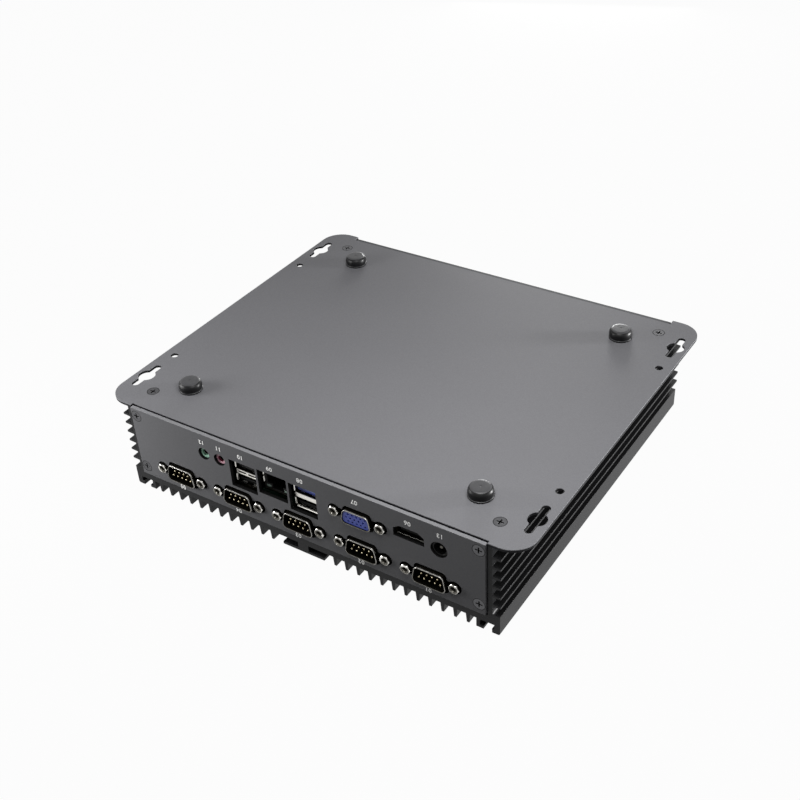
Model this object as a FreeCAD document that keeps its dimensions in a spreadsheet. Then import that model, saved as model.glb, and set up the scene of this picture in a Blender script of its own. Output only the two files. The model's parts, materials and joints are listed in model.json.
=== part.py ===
"""A fanless industrial pc, lying turned over: fins down, base plate and rubber feet up.

The frame is in millimetres. +Z is the outward normal of the base plate, and z = 0 is the plane of the
fin tips. -Y is the side of the rear panel with its connectors, and +Y the side of the front panel with the
power button. The origin is the middle of the whole object's footprint.
"""
import FreeCAD, Part
import math
import os
from types import SimpleNamespace

import Sketcher

SIZES = {
    # Case
    "case_length": 198.2,
    "case_height": 51.4,
    # Extruded housing
    "mouth_width": 201.0,
    "wall_thick": 2.2,
    "floor_thick": 4.5,
    "fin_height": 5.0,
    "bottom_fin_count": 12,
    "bottom_fin_first": 18.6,
    "bottom_fin_last_gap": 4.17,
    "bottom_fin_tip": 1.3,
    "bottom_fin_root": 2.2,
    "side_fin_count": 6,
    "side_fin_rise": 5.55,
    "side_fin_drop": 5.8,
    "side_fin_depth": 4.1,
    "side_fin_tip": 1.0,
    "side_fin_root": 1.4,
    "fin_sink": 0.5,
    "block_reach": 3.8,
    "block_top": 11.0,
    "block_wall": 2.9,
    "block_corner": 1.0,
    "block_fillet": 1.5,
    "lip_reach": 1.1,
    "lip_thick": 2.4,
    "slot_width": 7.2,
    "hook_fin_thick": 1.8,
    "hook_reach": 1.9,
    "hook_thick": 1.5,
    "cap_width": 24.3,
    "cap_thick": 1.5,
    "cap_stem": 6.1,
    "screw_rail_width": 6.8,
    "upper_rail_height": 7.4,
    "lower_rail_height": 8.5,
    # Base plate
    "flange_width": 17.1,
    "plate_thick": 1.5,
    "plate_corner": 12.0,
    "plate_setback": 1.0,
    "plate_overhang": 1.1,
    "plate_panel_gap": 0.7,
    "plate_screw_inset": 1.96,
    "plate_screw_end": 14.35,
    "round_hole_edge": 6.3,
    "round_hole_end": 44.6,
    "round_hole_radius": 2.05,
    "keyhole_edge": 6.2,
    "keyhole_end": 23.55,
    "keyhole_length": 20.1,
    "keyhole_slot": 4.1,
    "keyhole_eye": 4.5,
    # Panels
    "panel_thick": 2.0,
    "panel_proud": 1.0,
    "panel_side_gap": 0.5,
    "panel_floor_gap": 0.3,
    "panel_top_drop": 0.6,
    "panel_corner": 0.6,
    "panel_screw_inset": 3.8,
    "panel_screw_drop": 5.0,
    "panel_screw_rise": 5.6,
    # Screws
    "screw_radius": 1.5,
    "screw_head": 2.95,
    "screw_clearance": 0.05,
    "screw_point_room": 1.0,
    "plate_screw_length": 6.0,
    "panel_screw_length": 8.0,
    "cross_length": 3.4,
    "cross_width": 0.7,
    "cross_depth": 1.0,
    "pan_head_radius": 2.8,
    "pan_head_height": 2.0,
    "board_screw_length": 4.6,
    # Rubber feet
    "foot_edge": 34.65,
    "foot_rear_end": 25.25,
    "foot_front_end": 27.65,
    "foot_radius": 6.0,
    "foot_shoulder_radius": 5.7,
    "foot_top_radius": 4.8,
    "foot_height": 5.3,
    "foot_shoulder_height": 4.2,
    "foot_rounding": 0.9,
    # Circuit boards
    "board_thick": 1.6,
    "board_rise": 13.0,
    "board_side_gap": 10.5,
    "board_margin": 15.5,
    "board_setback": 5.6,
    "board_front_gap": 4.1,
    "standoff_radius": 2.75,
    "standoff_inset": 4.5,
    "com_board_gap": 0.4,
    "com_board_side_gap": 11.5,
    "com_board_depth": 25.0,
    "com_standoff_edge": 6.0,
    "com_standoff_inset": 4.0,
    # D-sub connectors
    "com_side_gap": 28.42,
    "com_centre": 0.09,
    "vga_pitch": 27.15,
    "dsub_seat": 5.9,
    "dsub_screw_pitch": 24.99,
    "dsub_flange_width": 30.8,
    "dsub_flange_height": 12.5,
    "dsub_flange_thick": 0.8,
    "dsub_flange_corner": 1.2,
    "dsub_flange_depth": 4.5,
    "dsub_slant": 0.1763,
    "dsub_proud": 1.8,
    "dsub_wall": 0.5,
    "dsub_corner": 2.4,
    "plug_width": 17.92,
    "plug_height": 9.36,
    "socket_width": 16.33,
    "socket_height": 7.9,
    "dsub_fit": 0.05,
    "dsub_block_width": 19.0,
    "dsub_block_lower": 5.4,
    "dsub_block_depth": 7.5,
    "plug_recess": 5.6,
    "socket_recess": 0.4,
    "pin_radius": 0.5,
    "pin_pitch": 2.77,
    "pin_row_pitch": 2.84,
    "pin_recess": 0.8,
    "pin_seat_depth": 3.0,
    "pin_fit": 0.02,
    "socket_hole_radius": 0.5,
    "socket_hole_pitch": 2.29,
    "socket_hole_row_pitch": 1.98,
    "socket_hole_stagger": 0.5725,
    "socket_hole_depth": 5.0,
    "dsub_window_gap": 1.0,
    "dsub_window_eye": 3.4,
    "dsub_window_neck": 4.4,
    # Jackscrews
    "jack_flats": 4.8,
    "jack_proud": 1.5,
    "jack_tip_radius": 2.35,
    "jack_bore_radius": 1.25,
    "jack_bore_depth": 4.8,
    "jack_stud_radius": 1.4,
    "jack_stud_length": 3.5,
    # Double sockets for universal serial bus
    "usb_right_pitch": 30.45,
    "usb_left_pitch": 17.55,
    "usb_front_edge": 28.0,
    "usb_width": 14.0,
    "usb_height": 15.8,
    "usb_depth": 17.0,
    "usb_setback": 3.2,
    "usb_port_width": 12.9,
    "usb_port_height": 5.4,
    "usb_port_pitch": 8.0,
    "usb_back_wall": 2.0,
    "usb_tongue_width": 11.6,
    "usb_tongue_thick": 1.9,
    "usb_tongue_offset": 1.15,
    "usb_tongue_recess": 0.9,
    "usb_window_side": 0.8,
    "usb_window_lip": 0.6,
    "usb_window_gap": 0.7,
    # Network socket
    "lan_pitch": 17.55,
    "lan_width": 15.4,
    "lan_height": 13.3,
    "lan_depth": 21.0,
    "lan_setback": 3.8,
    "lan_shield_wall": 0.4,
    "lan_port_width": 11.9,
    "lan_port_height": 7.9,
    "lan_port_drop": 1.7,
    "lan_port_depth": 13.0,
    "lan_latch_width": 6.2,
    "lan_latch_height": 2.4,
    "lan_window_side": 0.8,
    "lan_window_lip": 0.1,
    "lan_window_gap": 0.6,
    "lan_contact_count": 8,
    "lan_contact_pitch": 1.02,
    "lan_contact_width": 0.5,
    "lan_contact_thick": 0.5,
    "lan_contact_length": 9.0,
    # Video socket
    "video_pitch": 15.45,
    "video_seat": 3.5,
    "video_width": 15.0,
    "video_height": 5.6,
    "video_depth": 11.5,
    "video_setback": 1.9,
    "video_wall": 0.4,
    "video_chamfer_width": 3.2,
    "video_chamfer_height": 2.1,
    "video_window_gap": 0.45,
    "video_tongue_width": 11.2,
    "video_tongue_thick": 1.1,
    "video_tongue_offset": 0.6,
    "video_tongue_recess": 1.0,
    "video_back_wall": 3.0,
    "video_leg": 2.0,
    "video_leg_pitch": 7.5,
    # Power inlet
    "dc_edge": 12.8,
    "dc_seat": 5.0,
    "dc_lower": 5.0,
    "dc_width": 9.2,
    "dc_depth": 14.0,
    "dc_body_setback": 3.0,
    "dc_barrel_setback": 0.9,
    "dc_barrel_radius": 4.0,
    "dc_bore_radius": 3.1,
    "dc_bore_depth": 11.0,
    "dc_pin_radius": 1.0,
    "dc_pin_recess": 0.9,
    "dc_pin_seat": 2.0,
    "dc_window_gap": 0.25,
    # Sound sockets
    "mic_pitch": 13.85,
    "audio_pitch": 9.7,
    "sound_seat": 3.6,
    "sound_lower": 3.2,
    "sound_width": 6.6,
    "sound_depth": 12.0,
    "sound_body_setback": 3.0,
    "sound_barrel_setback": 1.2,
    "sound_barrel_radius": 2.9,
    "sound_bore_radius": 1.8,
    "sound_bore_depth": 11.0,
    "sound_window_gap": 0.4,
    # Power switch and lamps in the front panel
    "switch_inset": 26.5,
    "switch_lift": 0.3,
    "switch_barrel_radius": 6.0,
    "switch_barrel_length": 15.0,
    "switch_bezel_radius": 7.2,
    "switch_bezel_thick": 1.6,
    "switch_bore_depth": 2.8,
    "switch_cavity_radius": 5.2,
    "switch_cavity_depth": 6.0,
    "switch_hole_gap": 0.1,
    "nut_flats": 16.0,
    "nut_thick": 2.0,
    "button_radius": 4.6,
    "button_clearance": 0.08,
    "button_proud": 1.4,
    "button_skirt_radius": 5.0,
    "button_skirt_thick": 1.2,
    "button_skirt_gap": 0.1,
    "button_stem_radius": 1.6,
    "button_stem_length": 1.0,
    "button_rounding": 0.5,
    "lamp_gap": 22.0,
    "lamp_pitch": 8.0,
    "lamp_radius": 1.5,
    "lamp_proud": 0.5,
    "lamp_collar_radius": 1.9,
    "lamp_collar_thick": 1.0,
    "lamp_length": 4.0,
    # Processor and what cools it
    "chip_edge": 64.0,
    "chip_place": 100.0,
    "chip_width": 32.0,
    "chip_thick": 1.2,
    "die_width": 16.0,
    "die_thick": 0.8,
    "pad_width": 24.0,
    "pad_thick": 1.0,
    "heat_block_width": 44.0,
    # Memory, storage and clock cell
    "memory_edge": 36.0,
    "memory_place": 60.0,
    "memory_socket_wall": 2.2,
    "memory_socket_depth": 7.0,
    "memory_socket_height": 5.2,
    "memory_width": 67.6,
    "memory_length": 30.0,
    "memory_thick": 1.2,
    "memory_drop": 3.6,
    "memory_plug": 2.5,
    "memory_fit": 0.1,
    "memory_chip_width": 9.0,
    "memory_chip_length": 11.0,
    "memory_chip_thick": 1.1,
    "memory_chip_pitch": 15.0,
    "storage_edge": 30.0,
    "storage_end": 20.1,
    "storage_width": 22.0,
    "storage_length": 42.0,
    "storage_socket_depth": 8.0,
    "storage_socket_height": 4.2,
    "storage_thick": 1.0,
    "storage_drop": 2.2,
    "cell_edge": 30.0,
    "cell_place": 60.0,
    "cell_radius": 10.0,
    "cell_thick": 3.2,
    "cell_holder_wall": 1.2,
    "cell_holder_floor": 1.0,
    "cell_gap": 0.1,
}

doc = FreeCAD.newDocument("fanless_industrial_pc")
sheet = doc.addObject("Spreadsheet::Sheet", "sizes")
for row, (alias, number) in enumerate(SIZES.items(), start=1):
    sheet.set("A%d" % row, alias)
    sheet.set("B%d" % row, str(number))
    sheet.setAlias("B%d" % row, alias)
doc.recompute()


class Size(float):
    """A number that keeps the spreadsheet formula that it was worked out with."""

    def __new__(cls, value, formula):
        size = super().__new__(cls, value)
        size.formula = formula
        return size

    def __add__(self, other):
        return Size(float(self) + float(other), "(%s + %s)" % (self.formula, formula_of(other)))

    def __radd__(self, other):
        return Size(float(other) + float(self), "(%s + %s)" % (formula_of(other), self.formula))

    def __sub__(self, other):
        return Size(float(self) - float(other), "(%s - %s)" % (self.formula, formula_of(other)))

    def __rsub__(self, other):
        return Size(float(other) - float(self), "(%s - %s)" % (formula_of(other), self.formula))

    def __mul__(self, other):
        return Size(float(self) * float(other), "(%s * %s)" % (self.formula, formula_of(other)))

    def __rmul__(self, other):
        return Size(float(other) * float(self), "(%s * %s)" % (formula_of(other), self.formula))

    def __truediv__(self, other):
        return Size(float(self) / float(other), "(%s / %s)" % (self.formula, formula_of(other)))

    def __neg__(self):
        return Size(-float(self), "(0 - %s)" % self.formula)


def formula_of(number):
    """The formula of a size, or the plain number in brackets."""
    return number.formula if isinstance(number, Size) else "(%.9g)" % float(number)


size = SimpleNamespace(**{alias: Size(number, "sizes." + alias) for alias, number in SIZES.items()})
SIDES = (-1, 1)


def new(kind, label):
    """A new object of the document under its label."""
    item = doc.addObject(kind, label)
    item.Label = label
    return item


def bind(item, name, number):
    """Ties a property to its formula in the sheet."""
    item.setExpression(name, formula_of(number))


def place(item, axis, low, centre):
    """Lays a round primitive along an axis from its low end, at its centre in the other two axes."""
    turns = {
        "x": FreeCAD.Rotation(FreeCAD.Vector(0, 1, 0), 90),
        "y": FreeCAD.Rotation(FreeCAD.Vector(1, 0, 0), -90),
        "z": FreeCAD.Rotation(),
    }
    item.Placement = FreeCAD.Placement(FreeCAD.Vector(), turns[axis])
    bind(item, "Placement.Base." + axis, low)
    for other, at in zip([name for name in "xyz" if name != axis], centre):
        bind(item, "Placement.Base." + other, at)


def box(label, x, y, z):
    """A block between a low and a high value of each axis."""
    item = new("Part::Box", label)
    for axis, side, (low, high) in (("x", "Length", x), ("y", "Width", y), ("z", "Height", z)):
        bind(item, side, high - low)
        bind(item, "Placement.Base." + axis, low)
    return item


def cylinder(label, radius, low, high, axis, centre):
    """A round bar along an axis."""
    item = new("Part::Cylinder", label)
    bind(item, "Radius", radius)
    bind(item, "Height", high - low)
    place(item, axis, low, centre)
    return item


def cone(label, low_radius, high_radius, low, high, axis, centre):
    """A cone frustum along an axis."""
    item = new("Part::Cone", label)
    bind(item, "Radius1", low_radius)
    bind(item, "Radius2", high_radius)
    bind(item, "Height", high - low)
    place(item, axis, low, centre)
    return item


def hexagon(label, flats, low, high, axis, centre):
    """A hexagonal bar along an axis, measured across its flats."""
    item = new("Part::Prism", label)
    item.Polygon = 6
    bind(item, "Circumradius", flats / math.sqrt(3))
    bind(item, "Height", high - low)
    place(item, axis, low, centre)
    return item


def fuse(label, *pieces):
    """Joins pieces into one solid."""
    item = new("Part::MultiFuse", label)
    item.Shapes = list(pieces)
    item.Refine = True
    return item


def cut(label, base, *tools):
    """Takes one or more tools away from a base."""
    item = new("Part::Cut", label)
    item.Base = base
    item.Tool = tools[0] if len(tools) == 1 else fuse(label + "_cutters", *tools)
    item.Refine = True
    return item


def common(label, base, tool):
    """What two pieces share."""
    item = new("Part::Common", label)
    item.Base = base
    item.Tool = tool
    return item


def group(label, pieces):
    """Separate like solids under one name."""
    item = new("Part::Compound", label)
    item.Links = list(pieces)
    return item


def rectangle(x, z, radius=None):
    """The corners of an upright rectangle, sharp or rounded."""
    corners = [(x[0], z[0]), (x[1], z[0]), (x[1], z[1]), (x[0], z[1])]
    return corners if radius is None else [corner + (radius,) for corner in corners]


def draw_circle(sketch, circle):
    """Adds a circle (u, v, radius) to a sketch, tied to the sheet."""
    centre = FreeCAD.Vector(float(circle[0]), float(circle[1]), 0)
    edge = sketch.addGeometry(Part.Circle(centre, FreeCAD.Vector(0, 0, 1), float(circle[2])))
    sized = [
        (Sketcher.Constraint("DistanceX", -1, 1, edge, 3, float(circle[0])), circle[0]),
        (Sketcher.Constraint("DistanceY", -1, 1, edge, 3, float(circle[1])), circle[1]),
        (Sketcher.Constraint("Radius", edge, float(circle[2])), circle[2]),
    ]
    for rule, number in sized:
        bind(sketch, "Constraints[%d]" % sketch.addConstraint(rule), number)


def draw_outline(sketch, corners):
    """Adds a closed outline of sharp (u, v) and rounded (u, v, radius) corners, tied to the sheet."""
    count = len(corners)
    points = [FreeCAD.Vector(float(corner[0]), float(corner[1]), 0) for corner in corners]
    arrivals, departures, arcs = [], [], {}
    for number, corner in enumerate(corners):
        here = points[number]
        back = (points[number - 1] - here).normalize()
        ahead = (points[(number + 1) % count] - here).normalize()
        if len(corner) == 2:
            arrivals.append(here)
            departures.append(here)
            continue
        radius = float(corner[2])
        half = back.getAngle(ahead) / 2
        arrivals.append(here + back * (radius / math.tan(half)))
        departures.append(here + ahead * (radius / math.tan(half)))
        centre = here + (back + ahead).normalize() * (radius / math.sin(half))
        left_turn = back.cross(ahead).z < 0
        first, last = (arrivals[-1], departures[-1]) if left_turn else (departures[-1], arrivals[-1])
        angles = [math.atan2(point.y - centre.y, point.x - centre.x) for point in (first, last)]
        circle = Part.Circle(centre, FreeCAD.Vector(0, 0, 1), radius)
        arcs[number] = (Part.ArcOfCircle(circle, angles[0], angles[1]), left_turn)
    first_line = sketch.GeometryCount
    lines = [Part.LineSegment(departures[number], arrivals[(number + 1) % count]) for number in range(count)]
    sketch.addGeometry(lines)
    rules, sized = [], []
    for number, corner in enumerate(corners):
        before = first_line + (number - 1) % count
        after = first_line + number
        if number not in arcs:
            rules.append(Sketcher.Constraint("Coincident", before, 2, after, 1))
            fixed, end = after, 1
        else:
            arc, left_turn = arcs[number]
            edge = sketch.addGeometry(arc)
            fixed, end = sketch.addGeometry(Part.Point(points[number]), True), 1
            rules.append(Sketcher.Constraint("Tangent", before, 2, edge, 1 if left_turn else 2))
            rules.append(Sketcher.Constraint("Tangent", edge, 2 if left_turn else 1, after, 1))
            rules.append(Sketcher.Constraint("PointOnObject", fixed, 1, before))
            rules.append(Sketcher.Constraint("PointOnObject", fixed, 1, after))
            sized.append((Sketcher.Constraint("Radius", edge, float(corner[2])), corner[2]))
        sized.append((Sketcher.Constraint("DistanceX", -1, 1, fixed, end, float(corner[0])), corner[0]))
        sized.append((Sketcher.Constraint("DistanceY", -1, 1, fixed, end, float(corner[1])), corner[1]))
    first_sized = sketch.ConstraintCount + len(rules)
    sketch.addConstraint(rules + [rule for rule, number in sized])
    for place_in_list, (rule, number) in enumerate(sized):
        bind(sketch, "Constraints[%d]" % (first_sized + place_in_list), number)


def draw(body, label, plane, level, outlines=(), circles=()):
    """A sketch on one of a body's own planes, moved out to a level of the plane's axis."""
    sketch = body.newObject("Sketcher::SketchObject", label)
    support = next(part for part in body.Origin.OriginFeatures if part.Role == plane)
    sketch.AttachmentSupport = [(support, "")]
    sketch.MapMode = "FlatFace"
    bind(sketch, "AttachmentOffset.Base.z", -level if plane == "XZ_Plane" else level)
    for corners in outlines:
        draw_outline(sketch, corners)
    for circle in circles:
        draw_circle(sketch, circle)
    return sketch


def pad(body, label, plane, low, high, outlines=(), circles=()):
    """Adds material to a body between two levels."""
    sketch = draw(body, label + "_sketch", plane, low, outlines, circles)
    feature = body.newObject("PartDesign::Pad", label)
    feature.Profile = sketch
    feature.Reversed = plane == "XZ_Plane"
    bind(feature, "Length", high - low)
    body.Tip = feature
    return feature


def pocket(body, label, plane, start, end, outlines=(), circles=()):
    """Takes material out of a body from a start level to an end level."""
    sketch = draw(body, label + "_sketch", plane, start, outlines, circles)
    feature = body.newObject("PartDesign::Pocket", label)
    feature.Profile = sketch
    upwards = float(end) > float(start)
    feature.Reversed = upwards != (plane == "XZ_Plane")
    bind(feature, "Length", end - start if upwards else start - end)
    body.Tip = feature
    return feature


def repeat(body, label, feature, sketch_axis, backwards, span, count):
    """Repeats a feature of a body, evenly spaced over a span along an axis of its sketch."""
    pattern = body.newObject("PartDesign::LinearPattern", label)
    pattern.Originals = [feature]
    pattern.Direction = (feature.Profile[0], [sketch_axis])
    pattern.Reversed = backwards
    bind(pattern, "Length", span)
    bind(pattern, "Occurrences", count)
    body.Tip = pattern
    return pattern


def revolve(body, label, corners):
    """Turns an outline of radius and level round a body's upright axis."""
    sketch = draw(body, label + "_sketch", "XZ_Plane", 0.0, [corners])
    feature = body.newObject("PartDesign::Revolution", label)
    feature.Profile = sketch
    feature.ReferenceAxis = (sketch, ["V_Axis"])
    feature.Angle = 360
    body.Tip = feature
    return feature


# Levels and places that the pieces share
mouth = size.mouth_width / 2
wall_out = mouth + size.wall_thick
floor_top = size.fin_height + size.floor_thick
wall_top = size.case_height - size.plate_thick
front_reach = size.case_length + size.switch_bezel_thick + size.button_proud
rear_face = (size.dsub_proud - front_reach) / 2
front_face = rear_face + size.case_length
housing_start = rear_face + size.panel_proud
housing_end = front_face - size.panel_proud
panel_back = rear_face + size.panel_thick
front_panel_back = front_face - size.panel_thick
plate_start = rear_face + size.plate_setback
plate_end = front_face + size.plate_overhang
plate_half = mouth + size.flange_width
panel_half = mouth - size.panel_side_gap
panel_bottom = floor_top + size.panel_floor_gap
panel_top = size.case_height - size.panel_top_drop
panel_screw_levels = (floor_top + size.panel_screw_rise, size.case_height - size.panel_screw_drop)
thread_radius = size.screw_radius + size.screw_clearance
middle_level = (floor_top + wall_top) / 2
board_face = middle_level + size.board_rise
board_back = board_face + size.board_thick
board_start = rear_face + size.board_setback
board_end = front_panel_back - size.board_front_gap
board_right = mouth - size.board_side_gap
com_board_back = board_face - size.usb_height - size.com_board_gap
com_board_face = com_board_back - size.board_thick
com_level = com_board_face - size.dsub_seat
vga_level = board_face - size.dsub_seat
com_pitch = (size.mouth_width - 2 * size.com_side_gap) / 4
com_centres = [size.com_centre + com_pitch * step for step in (2, 1, 0, -1, -2)]
dc_centre = board_right - size.dc_edge
video_centre = dc_centre - size.video_pitch
vga_centre = video_centre - size.vga_pitch
usb_right = vga_centre - size.usb_right_pitch
lan_centre = usb_right - size.lan_pitch
usb_left = lan_centre - size.usb_left_pitch
mic_centre = usb_left - size.mic_pitch
audio_centre = mic_centre - size.audio_pitch
board_left = audio_centre - size.board_margin
usb_front = board_left + size.usb_front_edge
switch_centre = mouth - size.switch_inset
switch_level = middle_level + size.switch_lift
flange_front = rear_face + size.dsub_flange_depth
flange_back = flange_front + size.dsub_flange_thick
dsub_rim = rear_face - size.dsub_proud
usb_level = board_face - size.usb_height / 2
usb_port_levels = [usb_level + side * size.usb_port_pitch / 2 for side in SIDES]
lan_level = board_face - size.lan_height / 2
video_level = board_face - size.video_seat
dc_level = board_face - size.dc_seat
sound_level = board_face - size.sound_seat


def pair(centre, width):
    """The low and high values of a width about its centre."""
    return (centre - width / 2, centre + width / 2)


def housing():
    """One aluminium extrusion: a tray with fins outside, screw rails inside and a mounting slot each side."""
    body = new("PartDesign::Body", "heatsink_body")
    rail = mouth - size.screw_rail_width
    block_out = wall_out + size.block_reach
    groove_out = block_out - size.block_wall
    lip_in = groove_out - size.lip_reach
    stem_out = groove_out - size.slot_width
    stem_in = stem_out - size.hook_fin_thick
    hook_out = stem_out + size.hook_reach
    half = [
        (rail, floor_top),
        (rail, floor_top + size.lower_rail_height),
        (mouth, floor_top + size.lower_rail_height),
        (mouth, wall_top - size.upper_rail_height),
        (rail, wall_top - size.upper_rail_height),
        (rail, wall_top),
        (wall_out, wall_top),
        (wall_out, size.block_top, size.block_fillet),
        (block_out, size.block_top),
        (block_out, 0.0, size.block_corner),
        (lip_in, 0.0),
        (lip_in, size.lip_thick),
        (groove_out, size.lip_thick),
        (groove_out, size.fin_height),
        (stem_out, size.fin_height),
        (stem_out, size.hook_thick),
        (hook_out, size.hook_thick),
        (hook_out, 0.0),
        (stem_in, 0.0),
        (stem_in, size.fin_height),
        (size.cap_stem / 2, size.fin_height),
        (size.cap_stem / 2, size.cap_thick),
        (size.cap_width / 2, size.cap_thick),
        (size.cap_width / 2, 0.0),
    ]
    mirrored = [(-corner[0],) + corner[1:] for corner in reversed(half)]
    pad(body, "housing_section", "XZ_Plane", housing_start, housing_end, [half + mirrored])
    bottom_span = stem_in - size.bottom_fin_last_gap - size.bottom_fin_first
    side_fin_first = size.block_top + size.side_fin_rise
    side_span = wall_top - size.side_fin_drop - side_fin_first
    for side in SIDES:
        hand = "left" if side < 0 else "right"
        middle = side * size.bottom_fin_first
        bottom_fin = [
            (middle - size.bottom_fin_root / 2, size.fin_height + size.fin_sink),
            (middle - size.bottom_fin_root / 2, size.fin_height),
            (middle - size.bottom_fin_tip / 2, 0.0),
            (middle + size.bottom_fin_tip / 2, 0.0),
            (middle + size.bottom_fin_root / 2, size.fin_height),
            (middle + size.bottom_fin_root / 2, size.fin_height + size.fin_sink),
        ]
        fin = pad(body, hand + "_bottom_fin", "XZ_Plane", housing_start, housing_end, [bottom_fin])
        repeat(body, hand + "_bottom_fins", fin, "H_Axis", side < 0, bottom_span, size.bottom_fin_count)
        root = side * (wall_out - size.fin_sink)
        tip = side * (wall_out + size.side_fin_depth)
        side_fin = [
            (root, side_fin_first - size.side_fin_root / 2),
            (tip, side_fin_first - size.side_fin_tip / 2),
            (tip, side_fin_first + size.side_fin_tip / 2),
            (root, side_fin_first + size.side_fin_root / 2),
        ]
        fin = pad(body, hand + "_side_fin", "XZ_Plane", housing_start, housing_end, [side_fin])
        repeat(body, hand + "_side_fins", fin, "V_Axis", False, side_span, size.side_fin_count)
    seat = [rectangle((-mouth, mouth), (floor_top, wall_top))]
    holes = [(x, level, thread_radius) for x, level in panel_screw_places()]
    depth = size.panel_screw_length + size.screw_point_room
    pocket(body, "rear_seat", "XZ_Plane", housing_start, panel_back, seat)
    pocket(body, "rear_threads", "XZ_Plane", panel_back, rear_face + depth, (), holes)
    pocket(body, "front_seat", "XZ_Plane", housing_end, front_panel_back, seat)
    pocket(body, "front_threads", "XZ_Plane", front_panel_back, front_face - depth, (), holes)
    plate_threads = [(x, y, thread_radius) for x, y in plate_screw_places()]
    plate_depth = size.plate_screw_length + size.screw_point_room
    pocket(body, "plate_threads", "XY_Plane", wall_top, size.case_height - plate_depth, (), plate_threads)
    return body


def plate_ends(inset):
    """The two places along the base plate at one distance from its rear and front ends."""
    return (plate_start + inset, plate_end - inset)


def plate_screw_places():
    """Where the four screws of the base plate stand."""
    x = mouth - size.plate_screw_inset
    return [(side * x, y) for side in SIDES for y in plate_ends(size.plate_screw_end)]


def countersink(label, surface, inward, axis, centre):
    """The tools for a countersunk hole through a sheet, from its outer surface inwards along an axis."""
    wide = size.screw_head + size.screw_clearance
    depth = wide - thread_radius
    through = size.panel_thick + size.plate_thick
    if inward > 0:
        head = cone(label + "_head", wide, thread_radius, surface, surface + depth, axis, centre)
        shank = cylinder(label + "_shank", thread_radius, surface, surface + through, axis, centre)
    else:
        head = cone(label + "_head", thread_radius, wide, surface - depth, surface, axis, centre)
        shank = cylinder(label + "_shank", thread_radius, surface - through, surface, axis, centre)
    return [head, shank]


def countersunk_screw(label, surface, inward, axis, centre, length):
    """A countersunk screw flush with a surface, with a cross recess in its head."""
    head_height = size.screw_head - size.screw_radius
    end = surface + inward * length
    if inward > 0:
        head_end = surface + head_height
        head = cone(label + "_head", size.screw_head, size.screw_radius, surface, head_end, axis, centre)
        shank = cylinder(label + "_shank", size.screw_radius, surface, end, axis, centre)
        recess_range = (surface, surface + size.cross_depth)
    else:
        head_end = surface - head_height
        head = cone(label + "_head", size.screw_radius, size.screw_head, head_end, surface, axis, centre)
        shank = cylinder(label + "_shank", size.screw_radius, end, surface, axis, centre)
        recess_range = (surface - size.cross_depth, surface)
    blades = []
    for number, (first, second) in enumerate(
        ((size.cross_length, size.cross_width), (size.cross_width, size.cross_length))
    ):
        ranges = [pair(centre[0], first), pair(centre[1], second)]
        ranges.insert("xyz".index(axis), recess_range)
        blades.append(box("%s_blade_%d" % (label, number), *ranges))
    return cut(label, fuse(label + "_blank", head, shank), *blades)


def base_plate():
    """The flat steel plate: flanges left and right, cut back over the panels, with holes and keyholes."""
    near = panel_back + size.plate_panel_gap
    far = front_panel_back - size.plate_panel_gap
    body = new("PartDesign::Body", "base_plate_blank")
    outline = [
        (-plate_half, plate_start, size.plate_corner),
        (-mouth, plate_start),
        (-mouth, near),
        (mouth, near),
        (mouth, plate_start),
        (plate_half, plate_start, size.plate_corner),
        (plate_half, plate_end, size.plate_corner),
        (mouth, plate_end),
        (mouth, far),
        (-mouth, far),
        (-mouth, plate_end),
        (-plate_half, plate_end, size.plate_corner),
    ]
    hole_x = plate_half - size.round_hole_edge
    hole_rows = plate_ends(size.round_hole_end)
    holes = [(side * hole_x, y, size.round_hole_radius) for side in SIDES for y in hole_rows]
    pad(body, "base_plate_sheet", "XY_Plane", wall_top, size.case_height, [outline], holes)
    tools = []
    for number, (x, y) in enumerate(plate_screw_places()):
        tools += countersink("plate_sink_%d" % number, size.case_height, -1, "z", (x, y))
    slot_half = size.keyhole_slot / 2
    reach = size.keyhole_length / 2 - slot_half
    keyhole_x = plate_half - size.keyhole_edge
    places = [(side * keyhole_x, y) for side in SIDES for y in plate_ends(size.keyhole_end)]
    for number, (x, y) in enumerate(places):
        label = "keyhole_%d_" % number
        depth = (wall_top, size.case_height)
        tools.append(box(label + "slot", pair(x, size.keyhole_slot), (y - reach, y + reach), depth))
        tools.append(cylinder(label + "eye", size.keyhole_eye, wall_top, size.case_height, "z", (x, y)))
        for way in SIDES:
            name = label + ("near" if way < 0 else "far")
            tools.append(cylinder(name, slot_half, wall_top, size.case_height, "z", (x, y + way * reach)))
    return cut("base_plate", body, *tools)


def rubber_foot(number, x, y):
    """A rubber foot: a short drum with a rounded shoulder."""
    body = new("PartDesign::Body", "rubber_foot_%d" % number)
    profile = [
        (0.0, 0.0),
        (size.foot_radius, 0.0),
        (size.foot_shoulder_radius, size.foot_shoulder_height, size.foot_rounding),
        (size.foot_top_radius, size.foot_height),
        (0.0, size.foot_height),
    ]
    revolve(body, "foot_%d_drum" % number, profile)
    bind(body, "Placement.Base.x", x)
    bind(body, "Placement.Base.y", y)
    bind(body, "Placement.Base.z", size.case_height)
    return body


def d_outline(centre, level, width, height, corner):
    """The D of a D-sub connector, its wide side towards the fins."""
    narrow = width / 2 - height * size.dsub_slant
    low = level - height / 2
    high = level + height / 2
    return [
        (centre - width / 2, low, corner),
        (centre + width / 2, low, corner),
        (centre + narrow, high, corner),
        (centre - narrow, high, corner),
    ]


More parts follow.
